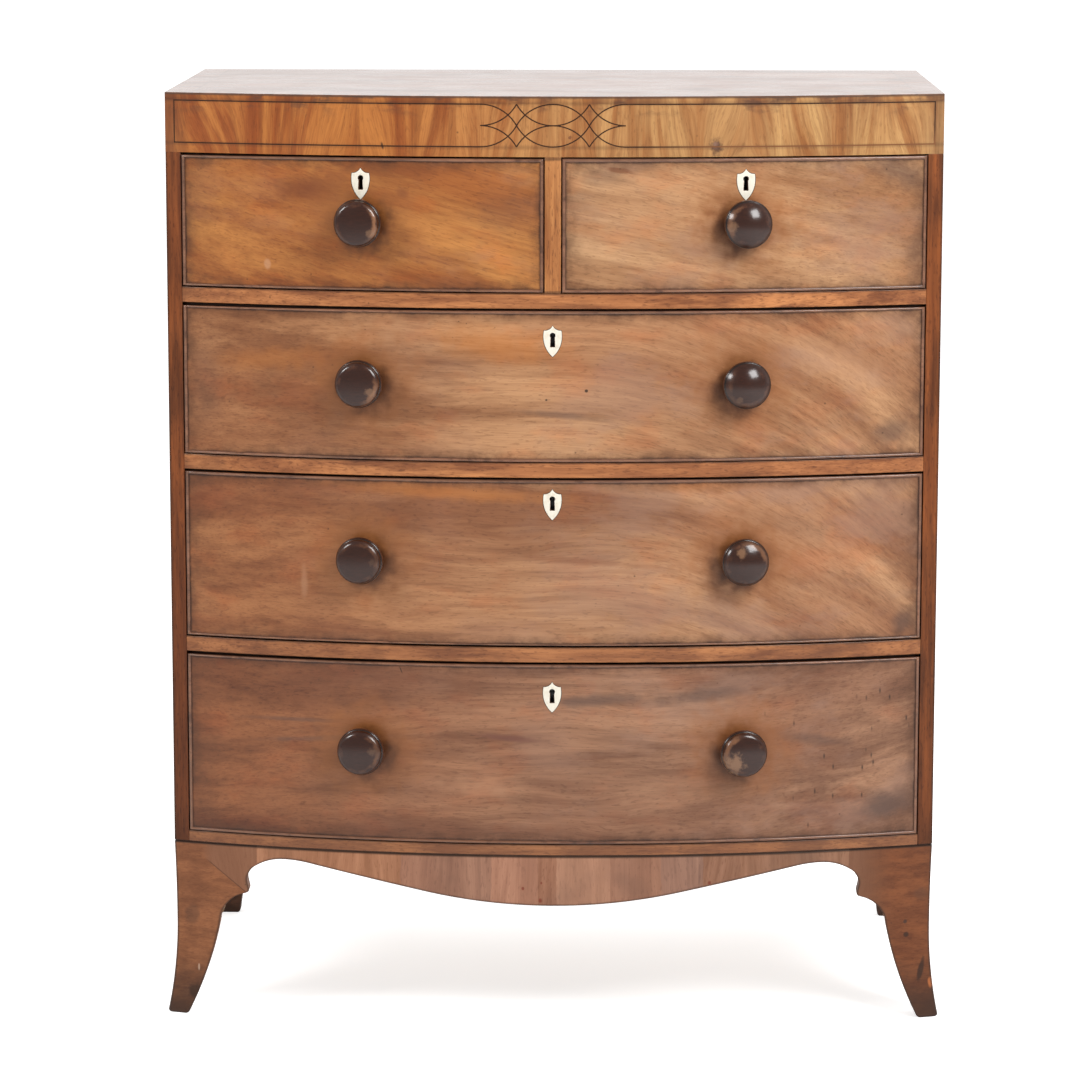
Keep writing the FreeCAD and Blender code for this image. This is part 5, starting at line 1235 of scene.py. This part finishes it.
def bead_frame(drawer_name, left, right, low, high, **_):
    """A half-round bead carried round a rectangle whose corners are mitred.

    Round the rectangle, (a, b) runs along the border of the square -1..1. At a distance t in from the outer
    edge the bead lies at x = middle + a (half width - t), z = middle + b (half height - t), and its crown
    stands h(t) = proud sqrt(1 - (2t/width - 1)^2) in front of the bow.
    """
    run = np.linspace(-1, 1, 97)[:-1]
    rise = np.linspace(-1, 1, 33)[:-1]
    a = np.concatenate([run, np.ones(32), -run, -np.ones(32)])
    b = np.concatenate([-np.ones(96), rise, np.ones(96), -rise])
    turn = np.linspace(0, math.pi, 13)
    inward = np.concatenate([[0.0], BEAD_WIDTH * (1 - np.cos(turn)) / 2, [BEAD_WIDTH]])
    crown = np.concatenate([[-BEAD_DEPTH], BEAD_PROUD * np.sin(turn), [-BEAD_DEPTH]])
    half_x, half_z = (right - left) / 2, (high - low) / 2
    x = (left + right) / 2 + a[:, None] * (half_x - inward)
    z = (low + high) / 2 + b[:, None] * (half_z - inward)
    seed = low * 40 + left * 7
    wear = 1 - 0.10 * (1 + soft_noise(a[:, None] * 3 + b[:, None] * 2, seed))
    bottom = b[:, None] < -0.99
    if drawer_name == DENTED:
        chipped = np.clip(np.minimum(x - CHIP[0], CHIP[1] - x) / 0.008, 0, 1) * bottom
        chipped = chipped * (0.75 + 0.25 * np.sin(x * 310.0))
        wear = wear * (1 - 0.8 * chipped)
        z = z - 0.0002 * chipped
    front = crown > 0
    y = bow_y(x, -np.where(front, crown * wear, crown))
    share = (x - left) / (right - left)
    for side, gaps in zip((1, -1), BEAD_GAPS[drawer_name]):
        near = np.clip((side * b[:, None] - 0.9) / 0.1, 0, 1) * np.clip(1 - inward / BEAD_WIDTH, 0, 1)
        z = z - side * near * np.interp(share, (0, 0.5, 1), gaps) * MILLIMETRE
    return woven(drawer_name + "_beads", np.stack([x, y, z], axis=-1), True, True)


def bead_finish():
    """Close-grained wood whose crown is paler, rubbed and partly a painted highlight, with painted shade in
    the creases at the foot of both its sides.
    """
    material, bench, shader = new_finish("bead_wood")
    spot = object_place(bench)
    tones = ((0.085, 0.034, 0.018), (0.215, 0.092, 0.050), (0.150, 0.060, 0.032))
    colour, relief = lay_wood(bench, spot, tones, "xzy", wander=0.003, bands=40.0, seed=52.0)
    z = bench.split(spot)[2]
    colour = bench.blend(bench.ease(z, 0.45, 0.30, 0.0, 0.5), colour, (0.12, 0.044, 0.020))
    edge = edge_noise(bench, spot, scale=90.0)
    inset = inset_of(bench, spot)
    # a paler crown: rubbed, and partly a painted highlight
    crest = bench.ease(bench.plus(inset, bench.times(edge, 0.001)), -0.0013, -0.0019, 0.0, 0.18)
    colour = bench.blend(crest, colour, (0.52, 0.27, 0.14))
    # painted shade: black in the creases at the foot of both sides of the bead
    foot = bench.ease(inset, -0.0007, -0.0001, 0.0, 0.7)
    colour = bench.blend(foot, colour, SHADE_BLACK)
    worn = bench.ease(bench.noise(spot, scale=35.0, detail=4.0, roughness=0.65), 0.56, 0.68, 0.0, 0.75)
    colour = bench.blend(worn, colour, (0.060, 0.022, 0.010))
    coat(bench, shader, spot, colour, relief, dullness=0.36, coating=0.5)
    return material


bead_wood = bead_finish()
for drawer_name, drawer in DRAWERS.items():
    place_piece(drawer_name + "_bead_frame", bead_frame(drawer_name, **drawer), drawer["body"],
                "bead_mahogany", bead_wood, drawer_name + "_cock_beads")

# Drawer boxes
# Behind each front are thin oak linings, lapped and dovetailed at the front and through-dovetailed at the
# back, round a bottom panel that slides in grooves. They are planed and unpolished, and darker where hands
# reach.

LINING_EASE = 0.4 * MILLIMETRE
side_oak = oak_finish("lining_oak", "yzx", 22.0)
bottom_oak = oak_finish("panel_oak", "xyz", 23.0,
                        ((0.29, 0.18, 0.088), (0.47, 0.325, 0.178), (0.37, 0.235, 0.12)))
for drawer_name in DRAWERS:
    eased(drawer_name + "_box", "oak", side_oak, LINING_EASE)
    dress(drawer_name + "_bottom", bottom_oak)

# Knobs
# Eight knobs are turned from mahogany stained almost black, each on a tenon through its front. A waisted neck
# carries a broad rim, a quirk and a cushioned or domed face; hands have rubbed the polish off the high parts.

# flat: 1 for a cushion with a round shoulder and a nearly flat face, 0 for one round dome. arc: where the
# polish of the shoulder is rubbed off, in degrees from the right, and how much. patch: a place rubbed bare,
# (across, up, size), and how bare.
KNOBS = {
    ("short_left", -1): dict(flat=1.0, arc=(5, 0.85), patch=(0.018, -0.010, 0.004), bare=0.35),
    ("short_right", 1): dict(flat=0.0, arc=(175, 0.5), patch=(-0.019, -0.002, 0.005), bare=0.45),
    ("long_upper", -1): dict(flat=0.95, arc=(-30, 0.6), patch=(0.017, -0.009, 0.005), bare=0.4),
    ("long_upper", 1): dict(flat=0.0, arc=(-120, 0.15), patch=(-0.010, -0.016, 0.003), bare=0.2),
    ("long_middle", -1): dict(flat=0.9, arc=(20, 0.15), patch=(0.017, 0.0, 0.003), bare=0.1),
    ("long_middle", 1): dict(flat=0.3, arc=(55, 0.5), patch=(-0.006, 0.013, 0.005), bare=0.5),
    ("long_lower", -1): dict(flat=0.85, arc=(10, 0.25), patch=(0.016, 0.003, 0.004), bare=0.2),
    ("long_lower", 1): dict(flat=0.95, arc=(150, 0.6), patch=(-0.013, -0.010, 0.010), bare=0.6),
}


def knob_profile(flat):
    """The knob's outline as (radius, height above the drawer), in millimetres, from the face of the drawer to
    the middle of its face: a collar, a waisted neck, a rim, a quirk, and the cushion or dome that flat
    chooses between."""
    cushion = np.vstack([
        [(26.0, 22.1)],
        arc_through((26.3, 24.0), (25.0, 28.2), (20.0, 31.0), 20),
        arc_through((20.0, 31.0), (10.0, 32.3), (0.0, 32.7), 24)[1:]])
    dome = arc_through((26.3, 22.9), (17.5, 30.18), (0.0, 34.85), len(cushion) * 4)
    radii = cushion[:, 0]
    smooth = np.column_stack([radii, np.interp(-radii, -dome[:, 0], dome[:, 1])])
    face = flat * cushion + (1 - flat) * smooth
    return np.vstack([
        [(0.0, 0.0), (13.6, 0.0), (14.0, 0.4), (14.0, 1.7)],
        arc_through((13.8, 2.0), (10.5, 7.5), (16.0, 12.5), 16),
        arc_through((16.5, 12.6), (25.6, 14.6), (27.9, 17.4), 14),
        arc_through((28.0, 18.0), (27.7, 19.9), (26.7, 21.4), 10),
        [(26.3, 21.7), (26.0, 21.8)],
        face])


def round_bow(places, x):
    """Carries places at the middle of the front round the bow's axis to x."""
    turn = math.asin(x / BOW_RADIUS)
    away = places[..., 1] - AXIS_Y
    return np.stack([places[..., 0] * math.cos(turn) - away * math.sin(turn),
                     AXIS_Y + places[..., 0] * math.sin(turn) + away * math.cos(turn),
                     places[..., 2]], axis=-1)


def turned_knob(name, x, z, flat, seed):
    """The profile turned round the knob's axis: place = (r cos v, front - h, r sin v), slightly out of round.
    Each vertex keeps how far across, up and high on the knob it is."""
    outline = knob_profile(flat) * MILLIMETRE
    turn = np.linspace(0, 2 * math.pi, 97)[:-1]
    radius, height = outline[:, :1], outline[:, 1:]
    wobble = 1 - 0.003 * (1 + np.sin(2 * turn + seed)) * (radius > 0.015)
    across, up = radius * wobble * np.cos(turn), radius * wobble * np.sin(turn)
    height = np.broadcast_to(height, across.shape)
    places = round_bow(np.stack([across, FRONT_Y - height, z + up], axis=-1), x)
    return woven(name, places, False, True, 50.0, across=across, up=up, height=height)


def make_knob_group():
    """The stain of a turned knob: almost black, with brown where the rim is rubbed. Arc is (cosine, sine, 0)
    of where the shoulder has lost its polish and Rubbed how much of it, Patch the middle of a bare place of
    Size, and Bare how bare it is. Shine is the roughness of the polish."""
    bench, entry, leave = new_group("knob stain",
                                    {"Place": "Vector", "Patch": "Vector", "Size": "Float", "Bare": "Float",
                                     "Arc": "Vector", "Rubbed": "Float", "Seed": "Float"},
                                    {"Color": "Color", "Shine": "Float", "Height": "Float"})
    place = entry["Place"]
    across, up, height = bench.split(place)
    shifted = bench.moved(place, bench.joined(entry["Seed"], 0.0, entry["Seed"]))
    grain = bench.noise(bench.scaled(shifted, (90.0, 700.0, 700.0)), detail=3.0, roughness=0.6)
    cloud = bench.noise(shifted, scale=90.0, detail=4.0, roughness=0.6)
    loose = bench.minus(cloud, 0.5)
    colour = bench.blend(grain, (0.012, 0.0030, 0.0014), (0.045, 0.0120, 0.0050))
    colour = bench.blend(bench.ease(cloud, 0.42, 0.66, 0.0, 0.6), colour, (0.026, 0.0068, 0.0028))
    face = bench.joined(across, up, 0.0)
    radius = bench.length(face)
    ragged = bench.plus(radius, bench.times(loose, 0.008))
    ring = bench.times(bench.ease(ragged, 0.0185, 0.0220), bench.ease(ragged, 0.0260, 0.0235))
    toward = bench.node("VectorMath", {0: face, 1: entry["Arc"]}, operation="DOT_PRODUCT").outputs["Value"]
    facing = bench.plus(bench.math("DIVIDE", toward, bench.plus(radius, 0.0001)), loose)
    worn_arc = bench.times(ring, bench.ease(facing, 0.45, 0.95), entry["Rubbed"])
    faint = bench.times(ring, bench.ease(cloud, 0.46, 0.66, 0.0, 0.45))
    colour = bench.blend(faint, colour, (0.11, 0.038, 0.016))
    colour = bench.blend(worn_arc, colour, (0.24, 0.105, 0.048))
    rim = bench.times(bench.ease(radius, 0.0268, 0.0278), bench.ease(cloud, 0.40, 0.62, 0.1, 0.7))
    colour = bench.blend(rim, colour, (0.085, 0.028, 0.012))
    way = bench.node("VectorMath", {0: face, 1: entry["Patch"]}, operation="DISTANCE").outputs["Value"]
    flecks = bench.noise(shifted, scale=260.0, detail=4.0, roughness=0.7)
    torn = bench.plus(bench.times(loose, 2.0), bench.times(bench.minus(flecks, 0.5), 1.3))
    frayed = bench.plus(bench.math("DIVIDE", way, bench.times(entry["Size"], 1.25)), torn)
    patch = bench.times(bench.ease(frayed, 1.20, 0.40), entry["Bare"])
    colour = bench.blend(patch, colour, (0.30, 0.155, 0.080))
    # painted shade: the quirk between the rim and the face is painted almost black
    groove = bench.times(bench.ease(height, 0.0208, 0.0215), bench.ease(height, 0.0240, 0.0226),
                         bench.ease(radius, 0.0272, 0.0266))
    colour = bench.blend(bench.times(groove, 0.9), colour, (0.006, 0.004, 0.003))
    dulled = bench.times(bench.math("MAXIMUM", patch, worn_arc), 0.28)
    bench.feed(leave["Color"], colour)
    bench.feed(leave["Shine"], bench.plus(bench.ease(cloud, 0.35, 0.70, 0.28, 0.44), dulled))
    bench.feed(leave["Height"], bench.plus(bench.times(grain, 0.03), bench.times(cloud, 0.12)))


def knob_finish(name, look, seed):
    material, bench, shader = new_finish(name)
    place = bench.joined(*(bench.layer(title) for title in ("across", "up", "height")))
    patch_across, patch_up, size = look["patch"]
    middle, rubbed = look["arc"]
    arc = (math.cos(math.radians(middle)), math.sin(math.radians(middle)), 0.0)
    stain = bench.group("knob stain", {"Place": place, "Patch": (patch_across, patch_up, 0.0), "Size": size,
                                       "Bare": look["bare"], "Arc": arc, "Rubbed": rubbed, "Seed": seed})
    fill(bench, shader, stain["Color"], stain["Shine"], stain["Height"], MILLIMETRE, 0.5)
    varnish(shader, 0.85, 0.19, 0.10)
    return material


make_knob_group()
for number, ((drawer_name, sign), look) in enumerate(KNOBS.items()):
    drawer = DRAWERS[drawer_name]
    title = drawer_name + ("_knob_left" if sign < 0 else "_knob_right")
    mesh = turned_knob(title, sign * KNOB_X, drawer["knob_z"], look["flat"], number * 1.3)
    place_piece(title, mesh, drawer["body"], "knob_wood", knob_finish(title, look, number * 0.37),
                drawer_name + "_knobs")

# Escutcheons
# A shield of bone, pierced for the key, is let into each front and scraped almost flush. A dark line of
# filler shows round it, and the edges of the keyhole are stained by years of keys and partly darkened with
# painted shade.

SHIELD_WIDTH, SHIELD_HEIGHT = 21.0, 36.0
SHIELD_ARCS = [  # its right half, in halves of its width and height from its middle
    ((0, 1), (0.36, 0.76), (0.95, 0.68)),
    ((0.95, 0.68), (1, 0.2), (0.88, -0.2)),
    ((0.88, -0.2), (0.55, -0.62), (0, -1)),
]
KEYHOLE_RADIUS, KEYHOLE_RISE, KEYHOLE_LENGTH = 3.3, 6.5, 13.5
SLOT_TOP, SLOT_FOOT = 2.5, 3.0
SHIELD_INLAY = 1.6
HUB = np.array([0.0, 3.0])  # a point inside the keyhole from which both outlines are seen whole
RAYS = 288


def rays_to(outline):
    """Where rays from the hub, at even angles, meet an outline given as points: the radius is interpolated
    between the angles of the points."""
    way = outline - HUB
    angles = np.arctan2(way[:, 1], way[:, 0])
    order = np.argsort(angles)
    even = np.linspace(-math.pi, math.pi, RAYS + 1)[:-1]
    reach = np.interp(even, angles[order], np.linalg.norm(way, axis=1)[order], period=2 * math.pi)
    return HUB + reach[:, None] * np.column_stack([np.cos(even), np.sin(even)])


def shield_outline(grow=0.0):
    half = np.array([SHIELD_WIDTH / 2, SHIELD_HEIGHT / 2])
    right = np.vstack([arc_through(*[np.array(point) * half for point in arc], 60) for arc in SHIELD_ARCS])
    both = np.vstack([right, right[::-1] * (-1, 1)])
    length = np.linalg.norm(both, axis=1, keepdims=True)
    return both * (1 + grow / length)


def keyhole_outline():
    meet = KEYHOLE_RISE - math.sqrt(KEYHOLE_RADIUS ** 2 - SLOT_TOP ** 2)
    low = KEYHOLE_RISE - KEYHOLE_LENGTH
    bow = arc_through((SLOT_TOP, meet), (0.0, KEYHOLE_RISE + KEYHOLE_RADIUS), (-SLOT_TOP, meet), 80)
    share = np.linspace(0, 1, 60)[:, None]
    left = np.array([-SLOT_TOP, meet]) + share * (np.array([-SLOT_FOOT, low]) - (-SLOT_TOP, meet))
    foot = np.array([-SLOT_FOOT, low]) + share * np.array([2 * SLOT_FOOT, 0.0])
    return np.vstack([bow, left, foot, left[::-1] * (-1, 1)])


def ring_plate(name, inner, outer, sections, x, z):
    """A flat ring between two outlines. sections are (share of the way from inner to outer, height in front
    of the drawer) round its closed section, and the plate follows the bow. Its rim layer is 1 where the
    section is low."""
    share = np.array([part for part, _ in sections])[:, None, None]
    height = np.array([rise for _, rise in sections])[:, None]
    flat = (inner + share * (outer - inner)) * MILLIMETRE
    away = bow_y(flat[..., 0], -height * MILLIMETRE)
    places = np.stack([flat[..., 0], away, z + flat[..., 1]], axis=-1)
    rim = np.clip((0.34 - np.broadcast_to(height, flat.shape[:2])) / 0.3, 0, 1)
    return woven(name, round_bow(places, x), True, True, 40.0, rim=rim)


def bone_finish():
    """Old bone: cream, faintly grained with darker pits, browner at its rim and round the keyhole, where the
    brown is partly painted shade.
    """
    material, bench, shader = new_finish("bone")
    spot = object_place(bench)
    grain = bench.noise(bench.scaled(spot, (900.0, 900.0, 160.0)), detail=3.0)
    cloud = bench.noise(spot, scale=120.0, detail=3.0)
    colour = bench.blend(grain, (0.70, 0.64, 0.52), (0.80, 0.76, 0.66))
    colour = bench.blend(bench.ease(cloud, 0.5, 0.72, 0.0, 0.35), colour, (0.58, 0.48, 0.33))
    # browner where the plate is low: stain at its rim, and partly painted shade round and down into the
    # keyhole
    rim = bench.layer("rim")
    stain = bench.times(bench.ease(rim, 0.7, 1.0), bench.ease(cloud, 0.3, 0.6, 0.4, 0.9))
    colour = bench.blend(stain, colour, (0.16, 0.10, 0.06))
    fill(bench, shader, colour, bench.ease(cloud, 0.3, 0.7, 0.28, 0.45), grain, 0.05 * MILLIMETRE, 0.7)
    varnish(shader, 0.3, 0.15)
    return material


def filler_finish():
    material, bench, shader = new_finish("dark_filler")
    spot = object_place(bench)
    crumbs = bench.noise(spot, scale=500.0, detail=3.0)
    colour = bench.blend(crumbs, (0.012, 0.007, 0.004), (0.050, 0.022, 0.012))
    coat(bench, shader, spot, colour, bench.times(crumbs, 0.1), dullness=0.6, coating=0.0)
    return material


BONE_SECTION = [(0.0, -SHIELD_INLAY), (0.0, 0.10), (0.03, 0.24), (0.10, 0.31), (0.35, 0.38), (0.65, 0.38),
                (0.90, 0.31), (0.97, 0.24), (1.0, 0.10), (1.0, -SHIELD_INLAY)]
FILLER_SECTION = [(0.0, -0.5), (0.0, 0.05), (1.0, 0.05), (1.0, -0.5)]
bone = bone_finish()
filler = filler_finish()
for drawer_name, drawer in DRAWERS.items():
    key_x, key_z = drawer["key"]
    hole, rim = rays_to(keyhole_outline()), rays_to(shield_outline())
    plate = ring_plate(drawer_name + "_shield", hole, rim, BONE_SECTION, key_x, key_z)
    place_piece(drawer_name + "_shield", plate, drawer["body"], "bone", bone, drawer_name + "_escutcheon")
    line = ring_plate(drawer_name + "_filler", rim, rays_to(shield_outline(0.7)), FILLER_SECTION, key_x,
                      key_z)
    place_piece(drawer_name + "_filler", line, drawer["body"], "bead_mahogany", filler)

# Locks and bolts
# A brass till lock is let into the back of each front, and its bolt rises into the rail above. The brass is
# dull and brown in the corners, brighter on the selvage where the drawer has rubbed.


def brass_finish(name, bright, dull, scale):
    material, bench, shader = new_finish(name)
    spot = object_place(bench)
    tarnish = bench.noise(spot, scale=scale, detail=5.0, roughness=0.65)
    brushed = bench.noise(bench.scaled(spot, (60.0, 900.0, 900.0)), detail=2.0)
    patina = bench.ease(tarnish, 0.42, 0.64)
    inset = inset_of(bench, spot)
    # painted shade: black, and not metal, where the brass lies inside the front and where it shows through
    # each keyhole
    hidden_shade = bench.ease(inset, 0.0145, 0.0130)
    for drawer in DRAWERS.values():
        key = bench.group("blot", {"Place": flattened(bench, spot), "Edge": 0.0, "Turn": 0.0,
                                   "Middle": (drawer["key"][0], 0.0, drawer["key"][1]), "Half width": 0.008,
                                   "Half height": 0.014, "Soft": 0.2})["Mask"]
        key = bench.times(key, bench.ease(inset, 0.0212, 0.0206))
        hidden_shade = bench.math("MAXIMUM", hidden_shade, key)
    colour = bench.blend(hidden_shade, bench.blend(patina, bright, dull), SHADE_BLACK)
    fill(bench, shader, colour, bench.ease(patina, 0.0, 1.0, 0.26, 0.55), brushed, 0.04 * MILLIMETRE, 0.6)
    metal = bench.minus(bench.ease(patina, 0.0, 1.0, 1.0, 0.75), hidden_shade)
    bench.feed(shader["Metallic"], bench.math("MAXIMUM", metal, 0.0))
    return material


lock_brass = brass_finish("lock_brass", (0.70, 0.47, 0.18), (0.20, 0.12, 0.05), 110.0)
bolt_brass = brass_finish("bolt_brass", (0.76, 0.55, 0.24), (0.28, 0.18, 0.08), 160.0)
for drawer_name in DRAWERS:
    dress(drawer_name + "_lock", lock_brass)
    dress(drawer_name + "_bolt", bolt_brass)

# The studio
# The chest stands on a plain white floor that runs out to a white horizon, between two large softboxes, one
# to the left of the viewer and one near to the right, in a pale room that is brightest behind the chest.

CAMERA_PLACE = (0.0773, -5.0783, 1.390)
CAMERA_TILT, CAMERA_TURN, CAMERA_ROLL = -9.50, 1.10, -0.06
LENS, SENSOR = 140.57, 36.0
AIM = (0.0, -0.2, 0.6)
SOFTBOXES = [  # azimuth from the view, height angle, distance, side, watts
    ("softbox_left", -62.0, 31.0, 3.2, 0.8, 39.0),
    ("softbox_right", 46.0, 40.0, 3.4, 1.5, 104.0)]


def floor_finish():
    material, bench, shader = new_finish("studio_floor")
    spot = object_place(bench)
    cloud = bench.noise(spot, scale=1.5, detail=2.0)
    bench.feed(shader["Base Color"], bench.blend(cloud, (0.86, 0.86, 0.86), (0.90, 0.90, 0.90)))
    seen = bench.node("LightPath", {}).outputs["Is Camera Ray"]
    bench.feed(shader["Emission Color"], bench.blend(seen, (0.0, 0.0, 0.0), (0.62, 0.62, 0.62)))
    shader["Emission Strength"].default_value = 1.0
    shader["Roughness"].default_value = 0.7
    return material


def studio_floor():
    """A square of floor, flat at height 0."""
    side = np.linspace(-20, 20, 9)
    x, y = np.meshgrid(side, side)
    mesh = woven("studio_floor", np.stack([x, y, np.zeros_like(x)], axis=-1), False, False)
    mesh.materials.append(floor_finish())
    if mesh.polygons[0].normal.z < 0:
        mesh.flip_normals()
    floor = bpy.data.objects.new("studio_floor", mesh)
    bpy.context.scene.collection.objects.link(floor)


def softbox(name, azimuth, height, distance, side, watts):
    light = bpy.data.lights.new(name, "AREA")
    light.shape = "SQUARE"
    light.size = side
    light.energy = watts
    lamp = bpy.data.objects.new(name, light)
    bpy.context.scene.collection.objects.link(lamp)
    turn, up = math.radians(azimuth), math.radians(height)
    lamp.location = (AIM[0] + distance * math.cos(up) * math.sin(turn),
                     AIM[1] - distance * math.cos(up) * math.cos(turn), AIM[2] + distance * math.sin(up))
    lamp.rotation_euler = (math.radians(90) - up, 0.0, turn)
    lamp.visible_camera = False


def studio_world():
    """White to the camera; as a light, dim in front of the chest and bright behind it."""
    world = bpy.data.worlds.new("studio")
    bpy.context.scene.world = world
    world.use_nodes = True
    bench = Bench(world.node_tree)
    world.node_tree.nodes.clear()
    direction = bench.node("TexCoord", {}).outputs["Generated"]
    backward = bench.split(direction)[1]
    room = bench.ease(backward, -0.2, 0.5, 0.40, 1.1)
    seen = bench.node("LightPath", {}).outputs["Is Camera Ray"]
    strength = bench.math("MAXIMUM", room, seen)
    back = bench.node("Background", {"Color": (1.0, 1.0, 1.0), "Strength": strength})
    end = world.node_tree.nodes.new("ShaderNodeOutputWorld")
    world.node_tree.links.new(back.outputs[0], end.inputs[0])


def studio_camera():
    lens = bpy.data.cameras.new("camera")
    lens.lens = LENS
    lens.sensor_width = SENSOR
    camera = bpy.data.objects.new("camera", lens)
    bpy.context.scene.collection.objects.link(camera)
    camera.location = CAMERA_PLACE
    camera.rotation_euler = [math.radians(angle) for angle in (90 + CAMERA_TILT, CAMERA_ROLL, CAMERA_TURN)]
    bpy.context.scene.camera = camera


studio_floor()
for values in SOFTBOXES:
    softbox(*values)
studio_world()
studio_camera()
bpy.context.scene.view_settings.view_transform = "Standard"
